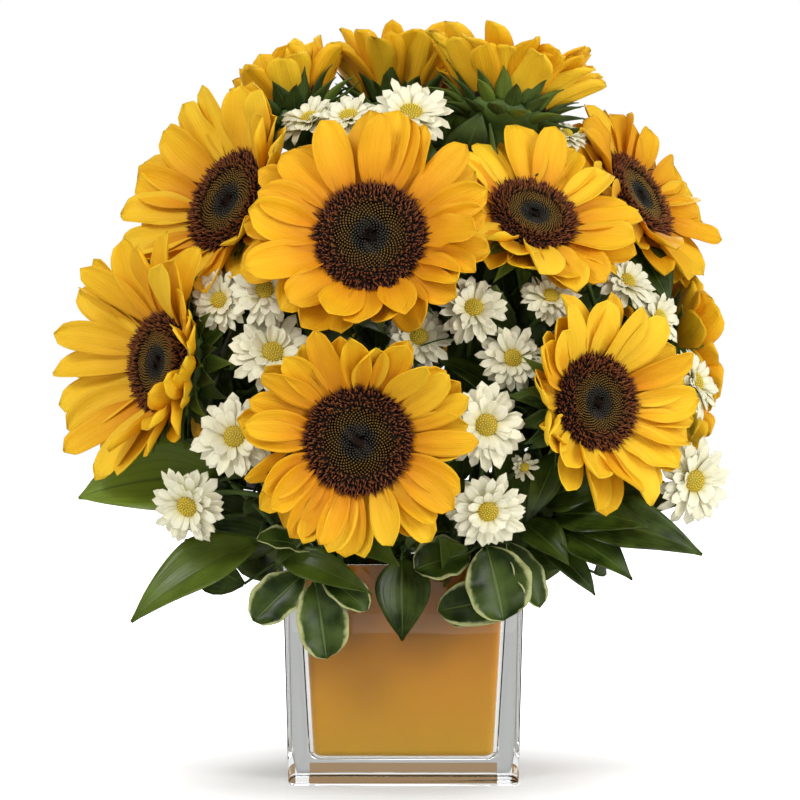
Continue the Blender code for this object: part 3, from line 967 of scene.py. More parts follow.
@dataclass
class Sunflower:
    """One sunflower: its stalk and flower back, bracts, corolla and florets."""

    measure: HeadMeasure
    habit: Habit
    bract_count: int = 13
    bract_length: float = 23 * MM
    bract_width: float = 10 * MM
    bract_rows: tuple = ((-6.5, 14, 0.97), (-9.5, -2, 0.95), (-14, -22, 0.80))
    petal_rings: tuple = ((-1.6, 0.93, 7), (-4.2, 0.90, -3))
    floret_count: int = 1150
    batch: int = 40
    centre_share: float = 0.36
    ring_share: float = 0.63
    stem_radius: float = 4.2 * MM
    neck_level: float = -30 * MM
    profile: tuple = ((-24, 0.27), (-19, 0.50), (-14, 0.86), (-9.5, 1.04), (-6.5, 1.02), (-4.5, 0.90))

    def __post_init__(self) -> None:
        """Gives each head its own random draws."""
        self.label = f"sunflower_{self.measure.number:02d}"
        self.chance = random.Random(1000 + self.measure.number)

    def stem_path(self) -> list[Vector]:
        """Draws the stem's middle line.

        Returns:
            Its points, from its foot in the foam to the flower's back.
        """
        head = self.measure
        neck = head.frame @ Vector((0, 0, self.neck_level))
        rising = (head.way_out - head.foot).normalized()
        distance = (neck - head.way_out).length
        rise = head.way_out + rising * distance * 0.45
        fall = neck - head.facing * distance * 0.35
        return [head.foot, head.way_out] + bezier(head.way_out, rise, fall, neck, 14)

    def build_stalk(self, material: Material) -> None:
        """Makes the stem and the green back of the head, as one smooth body.

        Args:
            material: Its material.
        """
        head = self.measure
        path = self.stem_path()
        radii = [self.stem_radius * (1 + 0.06 * math.sin(i * 1.7)) for i in range(len(path))]
        for level, share in self.profile:
            path.append(head.frame @ Vector((0, 0, level * MM)))
            radii.append(head.disc_radius * share)
        bm = new_mesh()
        sweep(bm, path, radii, 20)
        stalk = make_piece(f"{self.label}_stalk", bm, [material])
        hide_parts(f"{self.label}_stem")

    def build_bracts(self, material: Material) -> None:
        """Makes three rows of pointed green bracts behind the petals.

        Args:
            material: Their material.
        """
        bm = new_mesh()
        chance = self.chance
        for row, (height, lean, share) in enumerate(self.bract_rows):
            for i in range(self.bract_count):
                turn = math.tau * (i + 0.5 * row) / self.bract_count + chance.uniform(-0.1, 0.1)
                blade = Blade(
                    BRACT,
                    self.bract_length * chance.uniform(0.8, 1.15),
                    self.bract_width * chance.uniform(0.85, 1.15),
                    columns=8,
                    rows=4,
                    lean=math.radians(lean + chance.uniform(-8, 8)) + self.measure.lean * 0.7,
                    bend=math.radians(chance.uniform(-60, 0)),
                    bend_from=1.8,
                    cup=0.35,
                    sway=chance.uniform(-0.12, 0.12),
                    twist=math.radians(chance.uniform(-25, 25)),
                )
                self.set_round(bm, blade, turn, self.measure.disc_radius * share, height * MM)
        make_piece(f"{self.label}_bracts", bm, [material], 0.5 * MM)

    def set_round(
        self,
        bm: Mesh,
        blade: Blade,
        turn: float,
        radius: float,
        height: float,
        lightness: float = 0.0,
    ) -> None:
        """Adds a blade that points outward from the head's rim.

        Args:
            bm: The mesh.
            blade: The blade.
            turn: The angle round the head.
            radius: Its base's distance from the axis.
            height: Its base's height above the head's centre.
            lightness: How much lighter its tint is than a plain random one.
        """
        where = Matrix.Rotation(turn, 4, "Z") @ Matrix.Translation((radius, 0, height))
        tint = min(1.0, max(0.0, self.chance.random() + lightness))
        blade.add(bm, self.measure.frame @ where, tint)

    def build_corolla(self, material: Material) -> None:
        """Makes two rings of ray petals, each a little different.

        Args:
            material: Their material.
        """
        head = self.measure
        chance = self.chance
        bm = new_mesh()
        inverse = head.frame.to_3x3().inverted()
        habit = self.habit
        fold = habit.fold
        side = (inverse @ Vector(fold.side)).normalized() if fold else Vector()
        for layer, (height, share, add_lean) in enumerate(self.petal_rings):
            for i in range(habit.petal_count):
                turn = math.tau * (i + 0.5 * layer) / habit.petal_count + chance.uniform(-0.10, 0.10)
                length = head.petal_length * habit.stretch * chance.uniform(0.98, 1.18)
                lean = head.lean + math.radians(habit.lift + add_lean + chance.uniform(-10, 10))
                bend = math.radians(chance.uniform(-38, 14))
                if fold:
                    toward = max(0.0, Vector((math.cos(turn), math.sin(turn), 0)).dot(side)) ** 1.5
                    lean += math.radians(fold.lean) * toward
                    bend += math.radians(fold.curl) * toward
                    length *= 1 - fold.shorten * toward
                blade = Blade(
                    SUNFLOWER_PETAL,
                    length,
                    habit.petal_width * chance.uniform(0.80, 1.12),
                    columns=12,
                    rows=8,
                    lean=lean,
                    bend=bend,
                    bend_from=1.3,
                    cup=chance.uniform(0.05, 0.60),
                    grooves=chance.uniform(0.06, 0.15),
                    groove_count=chance.choice((1.5, 2.0)),
                    sway=chance.uniform(-0.15, 0.15),
                    twist=math.radians(chance.uniform(-38, 38)),
                    ruffle=chance.uniform(0.0, 0.07),
                    ruffle_turns=chance.uniform(1.0, 2.0),
                    ruffle_phase=chance.uniform(0, math.tau),
                )
                self.set_round(bm, blade, turn, head.disc_radius * share, height * MM, habit.lightness)
        corolla = make_piece(f"{self.label}_corolla", bm, [material], 0.4 * MM)
        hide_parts(f"{self.label}_petals")

    def dome(self, share: float) -> float:
        """Height of the disc's surface at a share of its radius: sunk at the centre, full near the rim."""
        return (2.2 - 1.1 * (1 - min(share / 0.5, 1.0)) ** 2 - 6.0 * max(0.0, share - 0.72) ** 1.3) * MM

    def build_florets(self, material: Material) -> None:
        """Makes the domed disc and its spiral of florets: bumps, then pegs, and spikes at the rim.

        Args:
            material: Their material.
        """
        radius = self.measure.disc_radius
        bm = new_mesh()
        rings = 14
        shares = [1 - i / rings for i in range(rings)] + [0.02]
        heights = [-6.8 * MM, -4 * MM] + [self.dome(share) for share in shares]
        radii = [radius * 0.93, radius * 0.97] + [radius * share * 0.985 for share in shares]
        sweep(bm, [Vector((0, 0, height)) for height in heights], radii, 40)
        reach = bm.verts.layers.float["reach"]
        for vert in bm.verts:
            vert[reach] = min(1.0, vert.co.xy.length / radius)
        for first in range(0, self.floret_count, self.batch):
            part = new_mesh()
            for n in range(first, min(first + self.batch, self.floret_count)):
                self.add_floret(part, math.sqrt((n + 0.5) / self.floret_count), n * GOLDEN_ANGLE, radius)
            join(bm, part)
        bm.transform(self.measure.frame)
        florets = make_piece(f"{self.label}_florets", bm, [material])
        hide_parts(f"{self.label}_disc")

    def add_floret(self, bm: Mesh, share: float, turn: float, radius: float) -> None:
        """Adds one floret on the disc.

        Args:
            bm: The mesh it is added to, in the head's frame.
            share: The floret's distance from the centre, as a share of the radius.
            turn: Its angle round the disc.
            radius: The disc's radius.
        """
        chance = self.chance
        spacing = radius / math.sqrt(self.floret_count) * 1.75
        if share < self.centre_share:
            height, wide, top, tilt, sides = 0.9 * MM, 0.55, 0.26, 0.0, 4
        elif share < self.ring_share:
            height, wide, top, tilt, sides = 1.5 * MM, 0.46, 0.20, 0.10, 4
        else:
            height, wide, top, tilt, sides = chance.uniform(2.4, 5.0) * MM, 0.52, 0.10, 0.45, 5
        outward = 1.05 * max(0.0, share - 0.6) / 0.4
        spin = Matrix.Rotation(turn, 4, "Z")
        stand = Matrix.Translation((radius * share * 0.985, 0, self.dome(share) - 0.3 * MM))
        lean = Matrix.Rotation(outward + chance.uniform(-tilt, tilt), 4, "Y")
        sideways = Matrix.Rotation(chance.uniform(-tilt, tilt), 4, "X")
        rising = Matrix.Translation((0, 0, height / 2))
        verts = bmesh.ops.create_cone(
            bm,
            cap_ends=True,
            segments=sides,
            radius1=spacing * wide,
            radius2=spacing * top,
            depth=height,
            matrix=spin @ stand @ lean @ sideways @ rising,
        )["verts"]
        reach, rise, tint = (bm.verts.layers.float[name] for name in ("reach", "rise", "tint"))
        shade = chance.random()
        for order, vert in enumerate(verts):
            vert[reach] = share
            vert[rise] = 1.0 if order % 2 else 0.0
            vert[tint] = shade

    def build(self, finishes: dict) -> None:
        """Makes all four pieces of the sunflower.

        Args:
            finishes: The materials, by name.
        """
        self.build_stalk(finishes["stem"])
        self.build_bracts(finishes["bract"])
        self.build_corolla(finishes["petal"])
        self.build_florets(finishes["floret"])


# ----------------------------------------------------------------------------------------------------
# Stems that stand in the foam


@dataclass(frozen=True)
class Foam:
    """How every stem stands in the foam: its heights, and how far its foot draws in."""

    top: float = 100 * MM
    stem_bottom: float = 50 * MM
    stem_exit: float = 104 * MM
    fan_share: float = 0.8

    def stem_start(self, socket: Pair) -> tuple[Vector, Vector, Vector]:
        """Finds where a stem stands.

        Args:
            socket: The place of its socket's mouth, in millimetres.

        Returns:
            Its foot, its way out of the foam and its direction there.
        """
        mouth = Vector((socket[0] * MM, socket[1] * MM, self.top))
        foot = Vector((mouth.x * self.fan_share, mouth.y * self.fan_share, self.stem_bottom))
        direction = (mouth - foot).normalized()
        return foot, foot + direction * (self.stem_exit - self.stem_bottom) / direction.z, direction


FOAM = Foam()


# ----------------------------------------------------------------------------------------------------
# Daisies


@dataclass(frozen=True)
class Bloom:
    """One daisy bloom: its centre, the way it faces and its radius."""

    centre: Triple
    facing: Triple
    radius: float


@dataclass
class DaisySpray:
    """A branched daisy stem with its blooms."""

    number: int
    socket: Pair
    fork: Triple
    blooms: tuple
    trunk_radius: float = 2.1 * MM
    branch_radius: float = 1.4 * MM
    first_branch: float = 2.5 * MM
    branch_step: float = 5 * MM
    layers: tuple = ((19, 1.06, 2, -20), (17, 0.93, 17, -18), (11, 0.68, 36, -16))
    ray_width: float = 0.27
    eye_share: float = 0.28
    eye_florets: int = 60
    floret_radius: float = 0.62 * MM
    floret_height: float = 1.3 * MM
    cup_profile: tuple = ((-6.5, 0.16), (-4.5, 0.28), (-2.5, 0.30), (-1.5, 0.24))
    eye_profile: tuple = ((-2.0, 0.9), (-0.2, 1.0), (1.0, 0.93), (1.9, 0.75), (2.3, 0.5), (2.4, 0.2))
    bud_radius: float = 10

    def __post_init__(self) -> None:
        """Gives each spray its own random draws."""
        self.label = f"daisy_spray_{self.number}"
        self.chance = random.Random(2000 + self.number)

    def build_stalks(self, material: Material) -> None:
        """Makes the trunk and its branches, each with a small green cup under its bloom.

        Args:
            material: Their material.
        """
        foot, way_out, direction = FOAM.stem_start(self.socket)
        fork = metres(self.fork)
        climb = fork - way_out
        rise = way_out + direction * climb.length * 0.4
        trunk = [foot, way_out] + bezier(way_out, rise, fork - climb * 0.4, fork, 8)
        bm = new_mesh()
        sweep(bm, trunk, [self.trunk_radius] * len(trunk), 10)
        rising = (trunk[-1] - trunk[-2]).normalized()
        for order, bloom in enumerate(self.blooms):
            head = facing_matrix(metres(bloom.centre), Vector(bloom.facing))
            facing = head.to_3x3() @ Vector((0, 0, 1))
            start = fork - rising * (self.first_branch + self.branch_step * order)
            neck = head @ Vector((0, 0, -8 * MM))
            distance = (neck - start).length
            fall = neck - facing * distance * 0.35
            path = [start] + bezier(start, start + rising * distance * 0.45, fall, neck, 8)
            radii = [self.branch_radius] * len(path)
            for level, share in self.cup_profile:
                path.append(head @ Vector((0, 0, level * MM)))
                radii.append(bloom.radius * MM * share)
            sweep(bm, path, radii, 9)
        stalks = make_piece(f"{self.label}_stalks", bm, [material])
        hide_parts(self.label)

    def build_rays(self, material: Material) -> None:
        """Makes three rings of ridged rays on every bloom.

        Args:
            material: Their material.
        """
        bm = new_mesh()
        chance = self.chance
        for bloom in self.blooms:
            head = facing_matrix(metres(bloom.centre), Vector(bloom.facing))
            radius = bloom.radius * MM
            bud = bloom.radius < self.bud_radius
            for count, share, lean, bend in self.layers:
                for i in range(count // 2 if bud else count):
                    turn = math.tau * (i + chance.uniform(-0.28, 0.28)) / count * (2 if bud else 1)
                    start = radius * self.eye_share * 0.8
                    blade = Blade(
                        DAISY_RAY,
                        (radius * share - start) * chance.uniform(0.9, 1.14),
                        radius * self.ray_width * chance.uniform(0.82, 1.15),
                        columns=6,
                        rows=4,
                        lean=math.radians(lean + chance.uniform(-13, 13) + (30 if bud else 0)),
                        bend=math.radians(bend + chance.uniform(-28, 28)),
                        bend_from=1.2,
                        cup=chance.uniform(-0.1, 0.5),
                        grooves=0.16,
                        groove_count=2.0,
                        sway=chance.uniform(-0.12, 0.12),
                        twist=math.radians(chance.uniform(-22, 22)),
                    )
                    outward = Matrix.Translation((start, 0, (lean * 0.04 - 1.6) * MM))
                    blade.add(bm, head @ Matrix.Rotation(turn, 4, "Z") @ outward, chance.random())
        make_piece(f"{self.label}_rays", bm, [material], 0.3 * MM)

    def build_eyes(self, material: Material) -> None:
        """Makes the domed centre of every bloom, set with tiny florets.

        Args:
            material: Their material.
        """
        whole = new_mesh()
        for bloom in self.blooms:
            radius = bloom.radius * MM * self.eye_share
            bm = new_mesh()
            path = [Vector((0, 0, level * MM)) for level, _ in self.eye_profile]
            sweep(bm, path, [radius * share for _, share in self.eye_profile], 20)
            reach, rise = (bm.verts.layers.float[name] for name in ("reach", "rise"))
            for vert in bm.verts:
                vert[reach] = min(1.0, vert.co.xy.length / radius)
            for n in range(self.eye_florets):
                share = math.sqrt((n + 0.5) / self.eye_florets)
                spin = Matrix.Rotation(n * GOLDEN_ANGLE, 4, "Z")
                stand = Matrix.Translation((radius * share * 0.95, 0, (2.5 - 1.9 * share**2.4) * MM))
                lean = Matrix.Rotation(share * 0.6, 4, "Y")
                verts = bmesh.ops.create_cone(
                    bm,
                    cap_ends=True,
                    segments=4,
                    radius1=self.floret_radius,
                    radius2=self.floret_radius * 0.45,
                    depth=self.floret_height,
                    matrix=spin @ stand @ lean,
                )["verts"]
                for order, vert in enumerate(verts):
                    vert[reach] = share
                    vert[rise] = 1.0 if order % 2 else 0.0
            bm.transform(facing_matrix(metres(bloom.centre), Vector(bloom.facing)))
            join(whole, bm)
        make_piece(f"{self.label}_eyes", whole, [material])

    def build(self, finishes: dict) -> None:
        """Makes the spray's three pieces.

        Args:
            finishes: The materials, by name.
        """
        self.build_stalks(finishes["stem"])
        self.build_rays(finishes["ray"])
        self.build_eyes(finishes["eye"])


# ----------------------------------------------------------------------------------------------------
# Leaves


class Kind(Enum):
    """The two kinds of greenery."""

    RUSCUS = "ruscus"
    PITTOSPORUM = "pittosporum"


@dataclass(frozen=True)
class Leaf:
    """One leaf blade: its two ends, its width, the way its upper side faces and how light it is."""

    base: Triple
    tip: Triple
    width: float
    facing: Triple
    tint: float = 0.3
    fold: float = 0.35

    def frame(self) -> tuple[Matrix, float]:
        """Finds how the leaf lies.

        Returns:
            A matrix with X from base to tip and Z out of the upper side, and the leaf's length.
        """
        along = metres(self.tip) - metres(self.base)
        x_axis = along.normalized()
        y_axis = Vector(self.facing).cross(x_axis).normalized()
        turn = Matrix((x_axis, y_axis, x_axis.cross(y_axis))).transposed().to_4x4()
        return Matrix.Translation(metres(self.base)) @ turn, along.length


@dataclass
class LeafSprig:
    """A leafy stem that leans over the vase's rim."""

    kind: Kind
    number: int
    socket: Pair
    route: tuple
    leaves: tuple
    climb: float = 16 * MM
    stem_radius: float = 1.7 * MM
    petiole_radius: float = 0.75 * MM

    def __post_init__(self) -> None:
        """Gives each sprig its own random draws."""
        self.label = f"{self.kind.value}_sprig_{self.number}"
        self.chance = random.Random(3000 + self.number + (50 if self.kind is Kind.RUSCUS else 0))

    def build(self, finishes: dict) -> None:
        """Makes the stem and its leaves.

        Args:
            finishes: The materials, by name.
        """
        foot, way_out, direction = FOAM.stem_start(self.socket)
        route = [foot, way_out, way_out + direction * self.climb] + [metres(point) for point in self.route]
        stalk = new_mesh()
        sweep(stalk, self.smooth(route), [self.stem_radius] * (len(route) * 4 - 3), 10)
        blades = new_mesh()
        for leaf in self.leaves:
            self.add_leaf(stalk, blades, leaf, route)
        stem = make_piece(f"{self.label}_stalk", stalk, [finishes["stem"]])
        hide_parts(self.label)
        upper, under = finishes[self.kind.value], finishes[self.kind.value + "_under"]
        make_piece(f"{self.label}_leaves", blades, [upper, under], 0.5 * MM)

    def smooth(self, route: list[Vector]) -> list[Vector]:
        """Draws a smooth line through a route's points.

        Args:
            route: The points.

        Returns:
            The line's points, four steps to a stretch.
        """
        points = [route[0]]
        last = len(route) - 1
        for i in range(last):
            before = route[i + 1] - route[max(i - 1, 0)]
            after = route[min(i + 2, last)] - route[i]
            points += bezier(route[i], route[i] + before / 6, route[i + 1] - after / 6, route[i + 1], 4)
        return points

    def add_leaf(self, stalk: Mesh, blades: Mesh, leaf: Leaf, route: list[Vector]) -> None:
        """Adds one leaf and the short stalk that holds it.

        Args:
            stalk: The mesh of stems.
            blades: The mesh of blades.
            leaf: The leaf.
            route: The main stem's points.
        """
        chance = self.chance
        where, length = leaf.frame()
        base = metres(leaf.base)
        node = min(route[3:], key=lambda point: (point - base).length)
        arched = (node + base) / 2 + Vector((0, 0, 1 * MM))
        sweep(stalk, [node, arched, base, where @ Vector((4 * MM, 0, 0))], [self.petiole_radius] * 4, 8)
        plain = self.kind is Kind.RUSCUS
        arch = math.radians(24 if plain else 14)
        blade = Blade(
            RUSCUS if plain else PITTOSPORUM,
            length * 1.04,
            leaf.width * MM,
            columns=16,
            rows=8,
            lean=arch,
            bend=-2 * arch,
            cup=leaf.fold,
            grooves=-0.03,
            groove_count=1.0,
            sway=chance.uniform(-0.05, 0.05),
            twist=math.radians(chance.uniform(-12, 12)),
            ruffle=0.02 if plain else 0.06,
            ruffle_turns=1.6 if plain else 3.0,
            ruffle_phase=chance.uniform(0, math.tau),
        )
        blade.add(blades, where, leaf.tint)


@dataclass
class Undergrowth:
    """Filling leaves on the stems inside the dome, which close the gaps between the flowers."""

    count: int = 260
    crown_lift: float = 0.17
    centre: Triple = (0, 0, 175)
    reach: Triple = (150, 118, 190)
    placed: tuple = (
        Leaf((124, -2, 286), (143, -14, 252), 25, (0.5, -0.8, 0.3), 0.1),
        Leaf((116, 6, 262), (148, -4, 238), 24, (0.6, -0.7, 0.3), 0.1),
        Leaf((80, -78, 176), (62, -92, 138), 17, (0.2, -0.95, 0.2), 0.2),
        Leaf((-126, -40, 262), (-152, -46, 284), 12, (-0.5, -0.8, 0.3), 0.2),
        Leaf((70, 2, 328), (96, -12, 348), 24, (0.2, -0.7, 0.6), 0.1),
        Leaf((26, 0, 338), (44, -14, 364), 22, (0.0, -0.8, 0.6), 0.1),
        Leaf((28, -20, 320), (42, -27, 357), 27, (0.1, -0.95, 0.3), 0.1),
    )
    stalk_radius: float = 0.8 * MM
    lowest: float = 112 * MM

    def build(self, finishes: dict, paths: list[list[Vector]]) -> None:
        """Sets the leaves on the stems.

        Args:
            finishes: The materials, by name.
            paths: The middle lines of the sunflowers' stems.
        """
        chance = random.Random(77)
        blades = new_mesh()
        stalks = new_mesh()
        centre = metres(self.centre)
        nodes = [point for path in paths for point in path[2:]]
        for n in range(self.count):
            height = 1 - 1.4 * (n + 0.5) / self.count
            turn = n * GOLDEN_ANGLE
            flat = math.sqrt(max(0.0, 1 - height * height))
            outward = Vector((math.cos(turn) * flat, math.sin(turn) * flat, height))
            share = chance.uniform(0.62, 0.78) + self.crown_lift * max(0.0, height) ** 2
            tip = centre + Vector([outward[k] * self.reach[k] * MM * share for k in range(3)])
            if tip.z < self.lowest:
                continue
            length = chance.uniform(44, 66) * MM
            droop = Vector((chance.uniform(-0.6, 0.6), chance.uniform(-0.6, 0.6), chance.uniform(-0.3, 0.9)))
            along = (outward * 0.55 + droop).normalized()
            base = tip - along * length * 0.55
            facing = (outward + Vector((0, 0, 0.5))).normalized()
            y_axis = facing.cross(along).normalized()
            turned = Matrix((along, y_axis, along.cross(y_axis))).transposed().to_4x4()
            blade = self.blade(length, chance.uniform(20, 30) * MM)
            blade.twist = chance.uniform(-0.3, 0.3)
            blade.ruffle = 0.02
            blade.add(blades, Matrix.Translation(base) @ turned, chance.uniform(0.0, 0.6))
            self.add_stalk(stalks, base, min(nodes, key=lambda point: (point - tip).length))
        for leaf in self.placed:
            where, length = leaf.frame()
            self.blade(length, leaf.width * MM).add(blades, where, leaf.tint)
            base = metres(leaf.base)
            self.add_stalk(stalks, base, min(nodes, key=lambda point: (point - base).length))
        slots = [finishes["ruscus"], finishes["ruscus_under"]]
        make_piece("filling_leaves", blades, slots, 0.5 * MM)
        make_piece("filling_leaf_stalks", stalks, [finishes["stem"]])

    def blade(self, length: float, width: float) -> Blade:
        """Draws a filling leaf's blade."""
        return Blade(RUSCUS, length, width, columns=10, rows=6, lean=0.3, bend=-0.6, cup=0.3)

    def add_stalk(self, stalks: Mesh, base: Vector, node: Vector) -> None:
        """Adds the short stalk from a stem to a leaf."""
        sweep(stalks, [node, (node + base) / 2, base], [self.stalk_radius] * 3, 6)


# ----------------------------------------------------------------------------------------------------
# The arrangement's tables

HABITS = {
    1: Habit(16, 21 * MM, Fold((0.3, 0.0, -1.0), 8, 22, 0.14), lightness=-0.5),
    2: Habit(17, 21 * MM, Fold((1.0, -0.3, 0.0), -4, 34, 0.15), 1.05, lightness=0.4),
    3: Habit(18, 18 * MM, Fold((1.0, -0.4, -0.5), -8, 62, 0.38), 1.04, lightness=0.2),
    4: Habit(20, 16 * MM, Fold((0.1, 0.0, 1.0), 8, 26), lightness=-0.15),
    5: Habit(17, 22.5 * MM, Fold((-0.3, 0.0, -1.0), 8, 20, 0.1)),
    6: Habit(16, 18.5 * MM, Fold((-1.0, -0.3, -0.3), -12, 66, 0.12), lightness=0.3),
    9: Habit(22, 20 * MM, Fold((0.1, -1.0, 0.0), -10, -6), 1.06, 3, 0.2),
    10: Habit(18, 19 * MM, None, 1.20, 12, 0.2),
    11: Habit(18, 19 * MM, Fold((-1.0, 0.0, 0.0), 32, 10, 0.2), 1.05, 8, 0.2),
}

SPRAYS = (
    DaisySpray(1, (-11, -8), (-14, -30, 300), (
        Bloom((4, -46, 354), (0.10, -0.75, 0.65), 22),
        Bloom((-29, -50, 352), (-0.15, -0.60, 0.80), 17),
        Bloom((-50, -36, 352), (-0.30, -0.50, 0.80), 17),
    )),
    DaisySpray(2, (-20, -31), (-58, -68, 205), (
        Bloom((-67, -100, 227), (0.15, -0.90, 0.40), 21),
        Bloom((-71, -97, 259), (-0.05, -0.88, 0.45), 18),
        Bloom((-95, -86, 254), (-0.40, -0.85, 0.20), 16),
    )),
    DaisySpray(3, (-33, -38), (-66, -78, 150), (
        Bloom((-86, -108, 184), (-0.10, -0.97, 0.20), 21),
        Bloom((-111, -94, 148), (-0.35, -0.85, -0.30), 20),
    )),
    DaisySpray(4, (8, -33), (32, -60, 205), (
        Bloom((8, -84, 235), (0.0, -0.95, 0.30), 17),
        Bloom((36, -92, 250), (0.10, -0.90, 0.40), 18),
        Bloom((56, -94, 224), (0.20, -0.95, 0.20), 17),
        Bloom((76, -84, 256), (0.20, -0.80, 0.55), 15),
    )),
    DaisySpray(5, (19, -45), (36, -80, 146), (
        Bloom((42, -112, 190), (0.05, -0.99, 0.10), 21),
        Bloom((62, -96, 168), (0.15, -0.95, 0.10), 8),
        Bloom((43, -108, 146), (0.05, -0.97, -0.20), 19),
    )),
    DaisySpray(6, (45, -13), (108, -26, 205), (
        Bloom((118, -50, 265), (0.50, -0.70, 0.50), 16),
        Bloom((135, -44, 246), (0.60, -0.75, 0.20), 15),
        Bloom((155, -44, 212), (0.80, -0.50, 0.30), 18),
        Bloom((152, -66, 160), (0.50, -0.80, -0.10), 22),
        Bloom((88, -12, 345), (0.30, -0.40, 0.85), 12),
    )),
    DaisySpray(7, (-20, 38), (-52, 76, 190), (
        Bloom((-58, 86, 306), (-0.35, 0.60, 0.70), 19),
        Bloom((-62, 108, 228), (-0.35, 0.90, 0.20), 19),
        Bloom((-38, 120, 180), (-0.15, 0.97, 0.05), 20),
        Bloom((-112, 62, 155), (-0.80, 0.55, -0.10), 20),
    )),
    DaisySpray(8, (18, 42), (40, 80, 185), (
        Bloom((48, 84, 312), (0.30, 0.60, 0.70), 19),
        Bloom((42, 116, 226), (0.20, 0.95, 0.20), 18),
        Bloom((16, 122, 184), (0.05, 0.99, 0.0), 19),
        Bloom((66, 112, 150), (0.35, 0.90, -0.15), 20),
    )),
)

SPRIGS = (
    LeafSprig(Kind.RUSCUS, 1, (-45, -34), ((-60, -56, 127), (-72, -60, 142), (-90, -50, 158)), (
        Leaf((-98, -50, 162), (-171, -44, 152), 44, (-0.1, -0.9, 0.4), 1.0),
        Leaf((-76, -66, 128), (-138, -78, 84), 33, (-0.4, -0.8, 0.45), 0.7),
        Leaf((-62, -69, 124), (-18, -69, 104), 15, (0.0, -1.0, 0.1)),
        Leaf((-84, -42, 156), (-122, -12, 178), 24, (-0.5, -0.3, 0.8)),
        Leaf((-64, -80, 121), (-17, -92, 102), 20, (0.0, -0.9, 0.45), 0.55),
    )),
    LeafSprig(Kind.RUSCUS, 2, (1, -46), ((2, -58, 127), (0, -70, 125)), (
        Leaf((-1, -72, 120), (1, -77, 78), 29, (0.0, -1.0, 0.1), 0.35),
        Leaf((3, -68, 125), (24, -92, 134), 17, (0.2, -0.5, 0.8)),
    )),
    LeafSprig(Kind.RUSCUS, 3, (46, -35), ((60, -54, 127), (74, -62, 136), (84, -64, 144)), (
        Leaf((88, -62, 147), (150, -44, 147), 33, (0.1, -0.8, 0.6), 0.1),
        Leaf((84, -68, 140), (155, -72, 124), 32, (0.2, -0.85, 0.5), 0.15),
        Leaf((80, -70, 134), (117, -82, 108), 26, (0.3, -0.85, 0.4), 0.05),
        Leaf((72, -68, 128), (98, -78, 100), 18, (0.4, -0.85, 0.3), 0.1),
        Leaf((80, -60, 146), (126, -22, 132), 28, (0.5, 0.2, 0.8), 0.1),
        Leaf((72, -64, 150), (112, -78, 160), 26, (0.2, -0.9, 0.4), 0.2),
        Leaf((78, -66, 142), (128, -84, 138), 27, (0.3, -0.85, 0.4), 0.15),
        Leaf((62, -66, 138), (84, -86, 116), 22, (0.3, -0.9, 0.3), 0.1),
    )),
    LeafSprig(Kind.RUSCUS, 4, (2, 46), ((2, 58, 127), (4, 72, 134)), (
        Leaf((0, 76, 134), (-28, 112, 106), 26, (-0.3, 0.75, 0.6)),
        Leaf((4, 76, 131), (2, 98, 84), 29, (0.0, 0.9, 0.3)),
        Leaf((8, 76, 134), (42, 108, 104), 26, (0.3, 0.75, 0.6)),
    )),
    LeafSprig(Kind.PITTOSPORUM, 1, (-31, -46), ((-34, -58, 127), (-40, -70, 131), (-46, -80, 121)), (
        Leaf((-52, -78, 112), (-76, -83, 88), 24, (-0.2, -0.95, 0.2)),
        Leaf((-46, -80, 108), (-39, -84, 70), 27, (0.1, -1.0, 0.1)),
        Leaf((-42, -84, 112), (-20, -90, 94), 18, (0.3, -0.9, 0.3)),
        Leaf((-46, -78, 124), (-75, -92, 131), 17, (-0.1, -0.7, 0.7)),
    )),
    LeafSprig(Kind.PITTOSPORUM, 2, (32, -46), ((36, -58, 127), (42, -71, 127)), (
        Leaf((34, -75, 123), (7, -84, 114), 25, (-0.1, -0.9, 0.4)),
        Leaf((43, -79, 126), (53, -86, 90), 35, (0.1, -0.95, 0.3)),
        Leaf((57, -68.5, 108), (24, -69, 88), 18, (0.0, -1.0, 0.0)),
        Leaf((66, -76, 104), (20, -78, 91), 25, (0.0, -1.0, 0.1)),
        Leaf((54, -74, 128), (71, -80, 96), 17, (0.5, -0.85, 0.2)),
    )),
    LeafSprig(Kind.PITTOSPORUM, 3, (-38, 42), ((-46, 58, 127), (-50, 72, 126)), (
        Leaf((-54, 76, 122), (-80, 84, 98), 26, (-0.3, 0.9, 0.3)),
        Leaf((-50, 78, 120), (-46, 84, 84), 27, (0.0, 1.0, 0.1)),
        Leaf((-60, 66, 126), (-92, 50, 116), 22, (-0.6, 0.3, 0.7)),
    )),
)


# ----------------------------------------------------------------------------------------------------
# The studio


